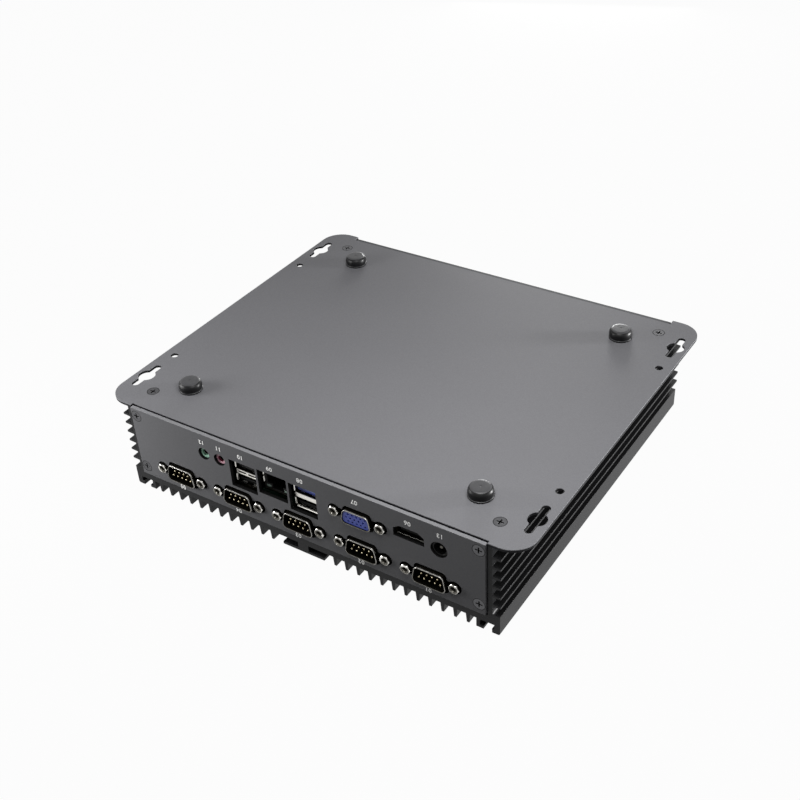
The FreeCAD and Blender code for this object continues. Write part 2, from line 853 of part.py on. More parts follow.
def dsub_shell(label, centre, level, width, height):
    """A drawn metal shell: a D-shaped sleeve on a flange with two screw holes."""
    body = new("PartDesign::Body", label)
    holes = [
        (centre + side * size.dsub_screw_pitch / 2, level, size.jack_stud_radius + size.screw_clearance)
        for side in SIDES
    ]
    flange = rectangle(
        pair(centre, size.dsub_flange_width), pair(level, size.dsub_flange_height), size.dsub_flange_corner
    )
    pad(body, label + "_flange", "XZ_Plane", flange_front, flange_back, [flange], holes)
    outside = d_outline(centre, level, width, height, size.dsub_corner)
    pad(body, label + "_sleeve", "XZ_Plane", dsub_rim, flange_front, [outside])
    wall = 2 * size.dsub_wall
    inside = d_outline(centre, level, width - wall, height - wall, size.dsub_corner - size.dsub_wall)
    pocket(body, label + "_bore", "XZ_Plane", dsub_rim, flange_back, [inside])
    return body


def dsub_insert(label, centre, level, width, height, recess, holes, hole_depth):
    """The moulded insulator: a D-shaped nose in the shell and a block that stands on the board behind it."""
    body = new("PartDesign::Body", label)
    less = 2 * (size.dsub_wall + size.dsub_fit)
    corner = size.dsub_corner - size.dsub_wall - size.dsub_fit
    nose = d_outline(centre, level, width - less, height - less, corner)
    nose_front = dsub_rim + recess
    pad(body, label + "_nose", "XZ_Plane", nose_front, flange_back, [nose])
    block = rectangle(
        pair(centre, size.dsub_block_width), (level - size.dsub_block_lower, level + size.dsub_seat)
    )
    pad(body, label + "_block", "XZ_Plane", flange_back, flange_back + size.dsub_block_depth, [block])
    pocket(body, label + "_holes", "XZ_Plane", nose_front, nose_front + hole_depth, (), holes)
    return body


def com_pin_places(centre):
    """Five pins on the wide side and four on the narrow side."""
    row = size.pin_row_pitch / 2
    lower = [(centre + size.pin_pitch * step, com_level - row) for step in range(-2, 3)]
    upper = [(centre + size.pin_pitch * step, com_level + row) for step in (-1.5, -0.5, 0.5, 1.5)]
    return lower + upper


def com_port(number, centre):
    """One serial port: metal shell, insulator and nine pins."""
    label = "com_%s_" + str(number)
    shell = dsub_shell(label % "shell", centre, com_level, size.plug_width, size.plug_height)
    holes = [(x, z, size.pin_radius + size.pin_fit) for x, z in com_pin_places(centre)]
    insert = dsub_insert(
        label % "insert", centre, com_level, size.plug_width, size.plug_height,
        size.plug_recess, holes, size.pin_seat_depth,
    )
    low = dsub_rim + size.pin_recess
    high = dsub_rim + size.plug_recess + size.pin_seat_depth
    pins = [
        cylinder("com_%d_pin_%d" % (number, place_in_list), size.pin_radius, low, high, "y", at)
        for place_in_list, at in enumerate(com_pin_places(centre))
    ]
    return [shell, insert, group(label % "pins", pins)]


def vga_port():
    """The fifteen-hole video socket, three rows of five holes."""
    shell = dsub_shell("vga_shell", vga_centre, vga_level, size.socket_width, size.socket_height)
    holes = []
    for row_number in (-1, 0, 1):
        stagger = -size.socket_hole_stagger if row_number == 0 else size.socket_hole_stagger
        for step in range(-2, 3):
            x = vga_centre + size.socket_hole_pitch * step + stagger
            holes.append((x, vga_level + size.socket_hole_row_pitch * row_number, size.socket_hole_radius))
    insert = dsub_insert(
        "vga_insert", vga_centre, vga_level, size.socket_width, size.socket_height,
        size.socket_recess, holes, size.socket_hole_depth,
    )
    return [shell, insert]


def dsub_places():
    """The centre and level of each D-sub connector."""
    return [(centre, com_level) for centre in com_centres] + [(vga_centre, vga_level)]


def jackscrew(label, x, z):
    """A hexagonal threaded standoff with a stud that goes through the connector's flange."""
    tip = rear_face - size.jack_proud
    bar = hexagon(label + "_bar", size.jack_flats, tip, flange_front, "y", (x, z))
    reach = flange_front - tip
    envelope = cone(
        label + "_chamfer", size.jack_tip_radius, size.jack_tip_radius + reach, tip, flange_front, "y", (x, z)
    )
    stud_end = flange_front + size.jack_stud_length
    stud = cylinder(label + "_stud", size.jack_stud_radius, flange_front, stud_end, "y", (x, z))
    bore = cylinder(label + "_bore", size.jack_bore_radius, tip, tip + size.jack_bore_depth, "y", (x, z))
    return cut(label, fuse(label + "_blank", common(label + "_head", bar, envelope), stud), bore)


def jackscrews():
    """Two at each D-sub connector."""
    pieces = []
    for number, (centre, level) in enumerate(dsub_places(), start=1):
        for side in SIDES:
            label = "jackscrew_%d_%s" % (number, "left" if side < 0 else "right")
            pieces.append(jackscrew(label, centre + side * size.dsub_screw_pitch / 2, level))
    return group("jackscrews", pieces)


def dsub_window(label, centre, level, width, height):
    """The cutters for a D-sub window: a D, an eye round each jackscrew and a neck that joins them."""
    gap = 2 * size.dsub_window_gap
    body = new("PartDesign::Body", label + "_d")
    outline = d_outline(centre, level, width + gap, height + gap, size.dsub_corner)
    pad(body, label + "_d_pad", "XZ_Plane", rear_face, panel_back, [outline])
    neck = box(
        label + "_neck", pair(centre, size.dsub_screw_pitch), (rear_face, panel_back),
        pair(level, size.dsub_window_neck),
    )
    eyes = []
    for side in SIDES:
        at = (centre + side * size.dsub_screw_pitch / 2, level)
        name = label + ("_left_eye" if side < 0 else "_right_eye")
        eyes.append(cylinder(name, size.dsub_window_eye, rear_face, panel_back, "y", at))
    return [body, neck] + eyes


def usb_window(label, centre, near, far):
    """The cutter for the window in front of a double socket."""
    wide = size.usb_width + 2 * size.usb_window_side
    low = usb_level - size.usb_height / 2 - size.usb_window_gap
    high = usb_level + size.usb_height / 2 - size.usb_window_lip
    return box(label, pair(centre, wide), (near, far), (low, high))


def panel_sheet(label, near, far):
    """A flat panel that fills the mouth of the housing."""
    body = new("PartDesign::Body", label)
    outline = rectangle((-panel_half, panel_half), (panel_bottom, panel_top), size.panel_corner)
    pad(body, label + "_pad", "XZ_Plane", near, far, [outline])
    return body


def panel_screw_places():
    """Where the four screws of a panel go."""
    x = mouth - size.panel_screw_inset
    return [(side * x, level) for side in SIDES for level in panel_screw_levels]


def video_outline(gap):
    """The outline of the flat video socket, its chamfered side towards the base plate."""
    x = size.video_width / 2 + gap
    z = size.video_height / 2 + gap
    shoulder = x - size.video_chamfer_width
    low_shoulder = z - size.video_chamfer_height
    centre = video_centre
    return [
        (centre - x, video_level - z),
        (centre + x, video_level - z),
        (centre + x, video_level + low_shoulder),
        (centre + shoulder, video_level + z),
        (centre - shoulder, video_level + z),
        (centre - x, video_level + low_shoulder),
    ]


def rear_panel():
    """The rear panel with a window for every connector."""
    tools = []
    for number, centre in enumerate(com_centres, start=1):
        tools += dsub_window("com_window_%d" % number, centre, com_level, size.plug_width, size.plug_height)
    tools += dsub_window("vga_window", vga_centre, vga_level, size.socket_width, size.socket_height)
    tools.append(usb_window("usb_window_1", usb_left, rear_face, panel_back))
    tools.append(usb_window("usb_window_2", usb_right, rear_face, panel_back))
    lan_half = size.lan_width / 2 + size.lan_window_side
    lan_low = lan_level - size.lan_height / 2 - size.lan_window_gap
    lan_high = lan_level + size.lan_height / 2 - size.lan_window_lip
    lan_x = (lan_centre - lan_half, lan_centre + lan_half)
    tools.append(box("lan_window", lan_x, (rear_face, panel_back), (lan_low, lan_high)))
    video = new("PartDesign::Body", "video_window")
    pad(video, "video_window_pad", "XZ_Plane", rear_face, panel_back, [video_outline(size.video_window_gap)])
    tools.append(video)
    dc_radius = size.dc_barrel_radius + size.dc_window_gap
    tools.append(cylinder("dc_window", dc_radius, rear_face, panel_back, "y", (dc_centre, dc_level)))
    for name, centre in (("audio_window", audio_centre), ("mic_window", mic_centre)):
        radius = size.sound_barrel_radius + size.sound_window_gap
        tools.append(cylinder(name, radius, rear_face, panel_back, "y", (centre, sound_level)))
    for number, at in enumerate(panel_screw_places()):
        tools += countersink("rear_sink_%d" % number, rear_face, 1, "y", at)
    return cut("rear_panel", panel_sheet("rear_panel_blank", rear_face, panel_back), *tools)


def lamp_centres():
    """The two status lamps in the front panel."""
    first = switch_centre - size.lamp_gap
    return [first, first - size.lamp_pitch]


def front_panel():
    """The front panel with holes for the power switch, two lamps and a double socket."""
    near, far = front_panel_back, front_face
    switch = (switch_centre, switch_level)
    hole = size.switch_barrel_radius + size.switch_hole_gap
    tools = [cylinder("switch_hole", hole, near, far, "y", switch)]
    tools.append(usb_window("front_usb_window", usb_front, near, far))
    for number, centre in enumerate(lamp_centres()):
        radius = size.lamp_radius + size.screw_clearance
        tools.append(cylinder("lamp_hole_%d" % number, radius, near, far, "y", (centre, switch_level)))
    for number, at in enumerate(panel_screw_places()):
        tools += countersink("front_sink_%d" % number, front_face, -1, "y", at)
    return cut("front_panel", panel_sheet("front_panel_blank", near, far), *tools)


def usb_stack(shell_label, tongue_label, centre, front, inward):
    """A double socket: one metal shell with two mouths, and its two tongues on a common back."""
    def depth(first, last):
        """Two depths behind the socket's front, as a low and a high value."""
        ends = (front + inward * first, front + inward * last)
        return ends if inward > 0 else ends[::-1]

    outside = box(
        shell_label + "_outside", pair(centre, size.usb_width), depth(0.0, size.usb_depth),
        pair(usb_level, size.usb_height),
    )
    mouths = [
        box(
            "%s_mouth_%d" % (shell_label, number), pair(centre, size.usb_port_width),
            depth(0.0, size.usb_depth), pair(level, size.usb_port_height),
        )
        for number, level in enumerate(usb_port_levels)
    ]
    shell = cut(shell_label, outside, *mouths)
    tongues = []
    for number, level in enumerate(usb_port_levels):
        name = "%s_%d" % (tongue_label, number)
        back_start = size.usb_depth - size.usb_back_wall
        fit = 2 * size.dsub_fit
        back = box(
            name + "_back", pair(centre, size.usb_port_width - fit), depth(back_start, size.usb_depth),
            pair(level, size.usb_port_height - fit),
        )
        tongue = box(
            name + "_tongue", pair(centre, size.usb_tongue_width), depth(size.usb_tongue_recess, back_start),
            pair(level - size.usb_tongue_offset, size.usb_tongue_thick),
        )
        tongues.append(fuse(name, back, tongue))
    return [shell, group(tongue_label, tongues)]


def lan_jack():
    """The network socket: sheet metal shield, moulded insert with its latch notch, and eight contacts."""
    centre = lan_centre
    front = rear_face + size.lan_setback
    back = front + size.lan_depth
    wall = size.lan_shield_wall
    outside = box(
        "lan_shield_outside", pair(centre, size.lan_width), (front, back), pair(lan_level, size.lan_height)
    )
    inner_x = pair(centre, size.lan_width - 2 * wall)
    inner_z = pair(lan_level, size.lan_height - 2 * wall)
    shield = cut("lan_jack_shield", outside, box("lan_shield_inside", inner_x, (front, back - wall), inner_z))
    fit = 2 * size.dsub_fit
    block = box(
        "lan_insert_block", pair(centre, size.lan_width - 2 * wall - fit),
        (front, back - wall - size.dsub_fit), pair(lan_level, size.lan_height - 2 * wall - fit),
    )
    port_top = lan_level + size.lan_height / 2 - size.lan_port_drop
    port_bottom = port_top - size.lan_port_height
    port_back = front + size.lan_port_depth
    port = box("lan_port", pair(centre, size.lan_port_width), (front, port_back), (port_bottom, port_top))
    latch = box(
        "lan_latch", pair(centre, size.lan_latch_width), (front, port_back),
        (port_bottom - size.lan_latch_height, port_bottom),
    )
    insert = cut("lan_jack_insert", block, port, latch)
    contacts = []
    for number in range(int(size.lan_contact_count)):
        x = centre + size.lan_contact_pitch * (number - (int(size.lan_contact_count) - 1) / 2)
        contacts.append(
            box(
                "lan_contact_%d" % number, pair(x, size.lan_contact_width),
                (port_back - size.lan_contact_length, port_back),
                (port_top - size.lan_contact_thick, port_top),
            )
        )
    return [shield, insert, group("lan_contacts", contacts)]


def video_jack():
    """The flat video socket: a chamfered metal sleeve with legs on the board, and its tongue."""
    front = rear_face + size.video_setback
    back = front + size.video_depth
    sleeve = new("PartDesign::Body", "video_sleeve")
    pad(sleeve, "video_sleeve_pad", "XZ_Plane", front, back, [video_outline(0.0)])
    pocket(sleeve, "video_sleeve_bore", "XZ_Plane", front, back, [video_outline(-size.video_wall)])
    legs = []
    for side in SIDES:
        at = video_centre + side * size.video_leg_pitch / 2
        name = "video_leg_left" if side < 0 else "video_leg_right"
        top = video_level + size.video_height / 2 - size.video_wall / 2
        legs.append(box(name, pair(at, size.video_leg), (back - size.video_leg, back), (top, board_face)))
    shell = fuse("video_jack_shell", sleeve, *legs)
    plug = new("PartDesign::Body", "video_plug")
    pad(
        plug, "video_plug_pad", "XZ_Plane", back - size.video_back_wall, back,
        [video_outline(-size.video_wall - size.dsub_fit)],
    )
    tongue = box(
        "video_tongue_plate", pair(video_centre, size.video_tongue_width),
        (front + size.video_tongue_recess, back - size.video_back_wall),
        pair(video_level - size.video_tongue_offset, size.video_tongue_thick),
    )
    return [shell, fuse("video_jack_tongue", plug, tongue)]


def dc_jack():
    """The power inlet: a moulded block with a barrel, and its centre pin."""
    at = (dc_centre, dc_level)
    body_front = rear_face + size.dc_body_setback
    barrel_front = rear_face + size.dc_barrel_setback
    block = box(
        "dc_block", pair(dc_centre, size.dc_width), (body_front, body_front + size.dc_depth),
        (dc_level - size.dc_lower, board_face),
    )
    barrel = cylinder("dc_barrel", size.dc_barrel_radius, barrel_front, body_front, "y", at)
    bore_end = barrel_front + size.dc_bore_depth
    bore = cylinder("dc_bore", size.dc_bore_radius, barrel_front, bore_end, "y", at)
    seat_end = bore_end + size.dc_pin_seat
    seat = cylinder("dc_pin_seat", size.dc_pin_radius + size.pin_fit, bore_end, seat_end, "y", at)
    body = cut("dc_jack_body", fuse("dc_blank", block, barrel), bore, seat)
    pin_front = barrel_front + size.dc_pin_recess
    return [body, cylinder("dc_jack_pin", size.dc_pin_radius, pin_front, seat_end, "y", at)]


def sound_jack(label, centre):
    """A 3.5 mm socket: a moulded block with a round nose."""
    at = (centre, sound_level)
    body_front = rear_face + size.sound_body_setback
    nose_front = rear_face + size.sound_barrel_setback
    block = box(
        label + "_block", pair(centre, size.sound_width), (body_front, body_front + size.sound_depth),
        (sound_level - size.sound_lower, board_face),
    )
    nose = cylinder(label + "_nose", size.sound_barrel_radius, nose_front, body_front, "y", at)
    bore = cylinder(
        label + "_bore", size.sound_bore_radius, nose_front, nose_front + size.sound_bore_depth, "y", at
    )
    return cut(label, fuse(label + "_blank", block, nose), bore)


def power_switch():
    """The power switch: a bezel and threaded barrel, the nut behind the panel, and the sliding button."""
    at = (switch_centre, switch_level)
    bezel_front = front_face + size.switch_bezel_thick
    barrel_back = front_face - size.switch_barrel_length
    bezel = cylinder("switch_bezel", size.switch_bezel_radius, front_face, bezel_front, "y", at)
    barrel = cylinder("switch_barrel", size.switch_barrel_radius, barrel_back, front_face, "y", at)
    shoulder = bezel_front - size.switch_bore_depth
    bore_radius = size.button_radius + size.button_clearance
    bore = cylinder("switch_bore", bore_radius, shoulder, bezel_front, "y", at)
    cavity_back = shoulder - size.switch_cavity_depth
    cavity = cylinder("switch_cavity", size.switch_cavity_radius, cavity_back, shoulder, "y", at)
    body = cut("power_switch_body", fuse("switch_blank", bezel, barrel), bore, cavity)
    nut_bar = hexagon(
        "switch_nut_bar", size.nut_flats, front_panel_back - size.nut_thick, front_panel_back, "y", at
    )
    nut_radius = size.switch_barrel_radius + size.screw_clearance
    nut_bore = cylinder(
        "switch_nut_bore", nut_radius, front_panel_back - size.nut_thick, front_panel_back, "y", at
    )
    nut = cut("power_switch_nut", nut_bar, nut_bore)
    button = new("PartDesign::Body", "power_button")
    skirt_top = -(size.button_proud + size.switch_bore_depth + size.button_skirt_gap)
    skirt_low = skirt_top - size.button_skirt_thick
    profile = [
        (0.0, skirt_low - size.button_stem_length),
        (size.button_stem_radius, skirt_low - size.button_stem_length),
        (size.button_stem_radius, skirt_low),
        (size.button_skirt_radius, skirt_low),
        (size.button_skirt_radius, skirt_top),
        (size.button_radius, skirt_top),
        (size.button_radius, 0.0, size.button_rounding),
        (0.0, 0.0),
    ]
    revolve(button, "power_button_turned", profile)
    button.Placement = FreeCAD.Placement(FreeCAD.Vector(), FreeCAD.Rotation(FreeCAD.Vector(1, 0, 0), -90))
    bind(button, "Placement.Base.x", at[0])
    bind(button, "Placement.Base.y", bezel_front + size.button_proud)
    bind(button, "Placement.Base.z", at[1])
    return [body, nut, button]


def status_lamps():
    """Two small lamps with a collar behind the front panel."""
    lamps = []
    for number, centre in enumerate(lamp_centres()):
        at = (centre, switch_level)
        name = "lamp_%d" % number
        lens_front = front_face + size.lamp_proud
        back = front_panel_back - size.lamp_length
        lens = cylinder(name + "_lens", size.lamp_radius, back, lens_front, "y", at)
        collar = cylinder(
            name + "_collar", size.lamp_collar_radius, front_panel_back - size.lamp_collar_thick,
            front_panel_back, "y", at,
        )
        lamps.append(fuse(name, lens, collar))
    return group("status_leds", lamps)


def board_screw_places():
    """Where the mainboard is held, near its four corners."""
    inset = size.standoff_inset
    rows = (board_start + inset, board_end - inset)
    return [(x, y) for x in (board_left + inset, board_right - inset) for y in rows]


def com_screw_places():
    """Where the serial port board hangs from the mainboard."""
    y = board_start + size.com_board_depth - size.com_standoff_inset
    return [(board_left + size.com_standoff_edge, y), (board_right - size.com_standoff_edge, y)]


def boards():
    """The mainboard on standoffs of the base plate, the serial port board below it, and their screws."""
    hole = size.screw_radius + size.screw_clearance
    main_holes = [
        cylinder("main_hole_%d" % number, hole, board_face, board_back, "z", at)
        for number, at in enumerate(board_screw_places() + com_screw_places())
    ]
    main = box(
        "mainboard_blank", (board_left, board_right), (board_start, board_end), (board_face, board_back)
    )
    com_end = board_start + size.com_board_depth
    com_x = pair(size.com_centre, size.mouth_width - 2 * size.com_board_side_gap)
    com = box("com_board_blank", com_x, (board_start, com_end), (com_board_face, com_board_back))
    com_holes = [
        cylinder("com_hole_%d" % number, hole, com_board_face, com_board_back, "z", at)
        for number, at in enumerate(com_screw_places())
    ]
    standoffs, screws = [], []
    rows = [(at, board_back, wall_top, board_face) for at in board_screw_places()]
    rows += [(at, com_board_back, board_face, com_board_face) for at in com_screw_places()]
    for number, (at, low, high, face) in enumerate(rows):
        name = "standoff_%d" % number
        bore_end = low + size.board_screw_length - size.board_thick + size.screw_point_room
        tube = cylinder(name + "_tube", size.standoff_radius, low, high, "z", at)
        bore = cylinder(name + "_bore", thread_radius, low, bore_end, "z", at)
        standoffs.append(cut(name, tube, bore))
        screw = "board_screw_%d" % number
        head = cylinder(screw + "_head", size.pan_head_radius, face - size.pan_head_height, face, "z", at)
        shank = cylinder(screw + "_shank", size.screw_radius, face, face + size.board_screw_length, "z", at)
        screws.append(fuse(screw, head, shank))
    return [
        cut("mainboard", main, *main_holes),
        cut("com_board", com, *com_holes),
        group("board_standoffs", standoffs),
        group("board_screws", screws),
    ]


def cooling():
    """The processor, the pad on it and the block that carries its heat to the housing."""
    x, y = board_right - size.chip_edge, rear_face + size.chip_place
    chip_low = board_face - size.chip_thick
    die_low = chip_low - size.die_thick
    pad_low = die_low - size.pad_thick
    chip_x, chip_y = pair(x, size.chip_width), pair(y, size.chip_width)
    substrate = box("chip_substrate", chip_x, chip_y, (chip_low, board_face))
    die = box("chip_die", pair(x, size.die_width), pair(y, size.die_width), (die_low, chip_low))
    soft = box("thermal_pad", pair(x, size.pad_width), pair(y, size.pad_width), (pad_low, die_low))
    wide = size.heat_block_width
    block = box("heat_block", pair(x, wide), pair(y, wide), (floor_top, pad_low))
    return [fuse("processor", substrate, die), soft, block]


def memory():
    """The memory socket and the module that lies in it, its chips on the side away from the board."""
    x = board_left + size.memory_edge
    y = rear_face + size.memory_place
    module_high = board_face - size.memory_drop
    module_low = module_high - size.memory_thick
    socket_y = (y, y + size.memory_socket_depth)
    slot_start = socket_y[1] - size.memory_plug
    block = box(
        "memory_socket_block", pair(x, size.memory_width + 2 * size.memory_socket_wall), socket_y,
        (board_face - size.memory_socket_height, board_face),
    )
    fit = size.memory_fit
    slot = box(
        "memory_slot", pair(x, size.memory_width + 2 * fit), (slot_start - fit, socket_y[1]),
        (module_low - fit, module_high + fit),
    )
    card = box(
        "memory_card", pair(x, size.memory_width), (slot_start, slot_start + size.memory_length),
        (module_low, module_high),
    )
    chips = []
    for number, step in enumerate((-1.5, -0.5, 0.5, 1.5)):
        chip_y = slot_start + size.memory_length / 2 + size.memory_plug
        chips.append(
            box(
                "memory_chip_%d" % number, pair(x + size.memory_chip_pitch * step, size.memory_chip_width),
                pair(chip_y, size.memory_chip_length), (module_low - size.memory_chip_thick, module_low),
            )
        )
    return [cut("memory_socket", block, slot), fuse("memory_module", card, *chips)]


def storage():
    """The storage card with its edge connector on the mainboard."""
    x = board_left + size.storage_edge
    y = board_end - size.storage_end - size.storage_length
    socket = box(
        "storage_socket", pair(x, size.storage_width), (y, y + size.storage_socket_depth),
        (board_face - size.storage_socket_height, board_face),
    )
    card_high = board_face - size.storage_drop
    card = box(
        "storage_card", pair(x, size.storage_width), (y, y + size.storage_length),
        (card_high - size.storage_thick, card_high),
    )
    return fuse("storage_module", socket, card)


def clock_cell():
    """The clock's coin cell in its holder."""
    at = (board_right - size.cell_edge, rear_face + size.cell_place)
    floor_level = board_face - size.cell_holder_floor
    rim = floor_level - size.cell_thick
    outer = size.cell_radius + size.cell_gap + size.cell_holder_wall
    cup = cylinder("cell_cup", outer, rim, board_face, "z", at)
    room = cylinder("cell_room", size.cell_radius + size.cell_gap, rim, floor_level, "z", at)
    return [
        cut("coin_cell_holder", cup, room),
        cylinder("coin_cell", size.cell_radius, rim, floor_level, "z", at),
    ]


def screw_sets():
    """The countersunk screws of the base plate and of both panels."""
    plate = [
        countersunk_screw("plate_screw_%d" % number, size.case_height, -1, "z", at, size.plate_screw_length)
        for number, at in enumerate(plate_screw_places())
    ]
    rear = [
        countersunk_screw("rear_screw_%d" % number, rear_face, 1, "y", at, size.panel_screw_length)
        for number, at in enumerate(panel_screw_places())
    ]
    front = [
        countersunk_screw("front_screw_%d" % number, front_face, -1, "y", at, size.panel_screw_length)
        for number, at in enumerate(panel_screw_places())
    ]
    return [
        group("base_plate_screws", plate),
        group("rear_panel_screws", rear),
        group("front_panel_screws", front),
    ]


def feet():
    """Four rubber feet on the base plate."""
    x = plate_half - size.foot_edge
    ends = (plate_start + size.foot_rear_end, plate_end - size.foot_front_end)
    places = [(side * x, y) for side in SIDES for y in ends]
    return [rubber_foot(number, x, y) for number, (x, y) in enumerate(places, start=1)]


def build():
    """Every sub-part of the object."""
    parts = [housing(), base_plate(), rear_panel(), front_panel()]
    parts += feet() + screw_sets()
    for number, centre in enumerate(com_centres, start=1):
        parts += com_port(number, centre)
    parts += vga_port()
    parts.append(jackscrews())
    rear_sockets = rear_face + size.usb_setback
    parts += usb_stack("usb_shell_1", "usb_tongues_1", usb_left, rear_sockets, 1)
    parts += usb_stack("usb_shell_2", "usb_tongues_2", usb_right, rear_sockets, 1)
    front_sockets = front_face - size.usb_setback
    parts += usb_stack("front_usb_shell", "front_usb_tongues", usb_front, front_sockets, -1)
    parts += lan_jack() + video_jack() + dc_jack()
    parts += [sound_jack("audio_jack", audio_centre), sound_jack("mic_jack", mic_centre)]
    parts += power_switch()
    parts.append(status_lamps())
    parts += boards() + cooling() + memory()
    parts.append(storage())
    parts += clock_cell()
    return parts


def check(parts):
    """Stops where an object of the document failed or a sub-part has no valid shape."""
    failed = [item.Name for item in doc.Objects if "Invalid" in item.State or "Error" in item.State]
    if failed:
        raise RuntimeError("objects that failed: " + ", ".join(failed))
    for part in parts:
        if part.Shape.isNull() or not part.Shape.isValid() or not part.Shape.Solids:
            raise RuntimeError("no valid solid in " + part.Label)


parts = build()
doc.recompute()
check(parts)
os.makedirs("parts", exist_ok=True)
for part in parts:
    part.Shape.exportStep(os.path.join("parts", part.Label + ".step"))
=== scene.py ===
"""The looks of a fanless industrial pc, lying turned over on its fins with the base plate up."""
import bmesh
import bpy
import json
import math
from mathutils import Matrix, Vector


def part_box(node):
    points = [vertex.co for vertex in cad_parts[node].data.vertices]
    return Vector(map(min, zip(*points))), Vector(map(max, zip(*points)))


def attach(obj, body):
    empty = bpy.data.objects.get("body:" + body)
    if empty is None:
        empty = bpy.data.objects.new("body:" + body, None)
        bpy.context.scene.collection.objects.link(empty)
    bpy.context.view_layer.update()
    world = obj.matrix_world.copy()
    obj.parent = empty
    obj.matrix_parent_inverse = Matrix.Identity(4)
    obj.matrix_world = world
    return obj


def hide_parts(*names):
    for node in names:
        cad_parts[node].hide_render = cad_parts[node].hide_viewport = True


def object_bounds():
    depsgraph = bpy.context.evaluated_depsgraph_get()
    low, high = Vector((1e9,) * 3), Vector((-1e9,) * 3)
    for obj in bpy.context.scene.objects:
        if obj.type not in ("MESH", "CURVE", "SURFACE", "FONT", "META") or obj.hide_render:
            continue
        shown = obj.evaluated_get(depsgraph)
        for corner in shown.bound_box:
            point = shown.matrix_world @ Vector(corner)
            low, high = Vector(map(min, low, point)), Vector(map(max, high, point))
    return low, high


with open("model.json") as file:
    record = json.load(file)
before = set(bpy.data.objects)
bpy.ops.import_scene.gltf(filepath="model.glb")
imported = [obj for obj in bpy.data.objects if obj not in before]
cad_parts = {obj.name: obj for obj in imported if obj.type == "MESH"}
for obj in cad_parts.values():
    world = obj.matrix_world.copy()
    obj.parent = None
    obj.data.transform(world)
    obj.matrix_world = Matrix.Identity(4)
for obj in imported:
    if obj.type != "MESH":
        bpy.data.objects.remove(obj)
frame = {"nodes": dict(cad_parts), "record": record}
nodes = frame["nodes"]
cad_low, cad_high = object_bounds()

MM = 0.001
REAR_LOW, REAR_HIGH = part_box("rear_panel")
PLATE_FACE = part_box("base_plate")[1].z
BODY_OF = {name: body for body, names in frame["record"]["behaviour"]["bodies"].items() for name in names}
SLOT_OF = {part["node"]: part["material_slot"] for part in frame["record"]["subparts"]}

# The turn that points a piece's upright axis out of the rear panel
TO_REAR = (90, 0, 0)

# The angle, in degrees, below which turned and bent pieces are shaded as round
ROUND_ANGLE = 40

# The distance, in metres, within which corners count as one
TOUCH = 0.000001


# Materials

def tone(red, green, blue):
    """A colour given as it looks on a screen, from 0 to 255, for a shader."""
    scaled = [value / 255 for value in (red, green, blue)]
    linear = [value / 12.92 if value <= 0.04045 else ((value + 0.055) / 1.055) ** 2.4 for value in scaled]
    return (*linear, 1.0)


def new_finish(name, roughness, metallic=0.0, specular=0.5):
    """A material with its shader, ready for its textures."""
    material = bpy.data.materials.new(name)
    material.use_nodes = True
    tree = material.node_tree
    shader = tree.nodes["Principled BSDF"]
    shader.inputs["Roughness"].default_value = roughness
    shader.inputs["Metallic"].default_value = metallic
    shader.inputs["Specular IOR Level"].default_value = specular
    return material, tree, shader


def noise(tree, grain_size, stretch=(1, 1, 1), detail=3.0):
    """Noise on the object's own coordinates. The grain size is in metres, and a stretch draws it out."""
    coordinates = tree.nodes.new("ShaderNodeTexCoord")
    mapping = tree.nodes.new("ShaderNodeMapping")
    mapping.inputs["Scale"].default_value = [1 / factor for factor in stretch]
    texture = tree.nodes.new("ShaderNodeTexNoise")
    texture.inputs["Scale"].default_value = 1 / grain_size
    texture.inputs["Detail"].default_value = detail
    tree.links.new(coordinates.outputs["Object"], mapping.inputs["Vector"])
    tree.links.new(mapping.outputs["Vector"], texture.inputs["Vector"])
    return texture.outputs["Fac"]


def ramp(tree, value, low, high):
    """Takes a value from its usual range for noise to a range of its own."""
    spread = tree.nodes.new("ShaderNodeMapRange")
    spread.inputs["From Min"].default_value = 0.3
    spread.inputs["From Max"].default_value = 0.7
    spread.inputs["To Min"].default_value = low
    spread.inputs["To Max"].default_value = high
    tree.links.new(value, spread.inputs["Value"])
    return spread.outputs["Result"]


def blend_colours(tree, factor, first, second):
    """A mix of two colours, each a plain colour or a socket."""
    mix = tree.nodes.new("ShaderNodeMix")
    mix.data_type = "RGBA"
    tree.links.new(factor, mix.inputs[0])
    for socket, colour in ((mix.inputs[6], first), (mix.inputs[7], second)):
        if isinstance(colour, bpy.types.NodeSocket):
            tree.links.new(colour, socket)
        else:
            socket.default_value = colour
    return mix.outputs[2]


def roughen(tree, shader, height, depth):
    """A bump from a height, its depth in metres."""
    bump = tree.nodes.new("ShaderNodeBump")
    bump.inputs["Distance"].default_value = depth
    tree.links.new(height, bump.inputs["Height"])
    tree.links.new(bump.outputs["Normal"], shader.inputs["Normal"])


def darkened(colour, share):
    """A plain colour with part of its light taken away."""
    return tuple(share * value for value in colour[:3]) + (1.0,)


def powder_coat(name, colour, gloss):
    """Fine textured paint on sheet metal: a tight grain with a very faint cloud of tone under it."""
    material, tree, shader = new_finish(name, 0.42, specular=gloss)
    cloud = ramp(tree, noise(tree, 0.09), 0.0, 1.0)
    speckle = noise(tree, 0.0004, detail=2.0)
    base = blend_colours(tree, cloud, colour, darkened(colour, 0.94))
    spots = ramp(tree, speckle, 0.0, 0.5)
    tree.links.new(blend_colours(tree, spots, base, darkened(colour, 0.72)), shader.inputs["Base Color"])
    tree.links.new(ramp(tree, speckle, 0.38, 0.52), shader.inputs["Roughness"])
    roughen(tree, shader, speckle, 0.00002)
    return material


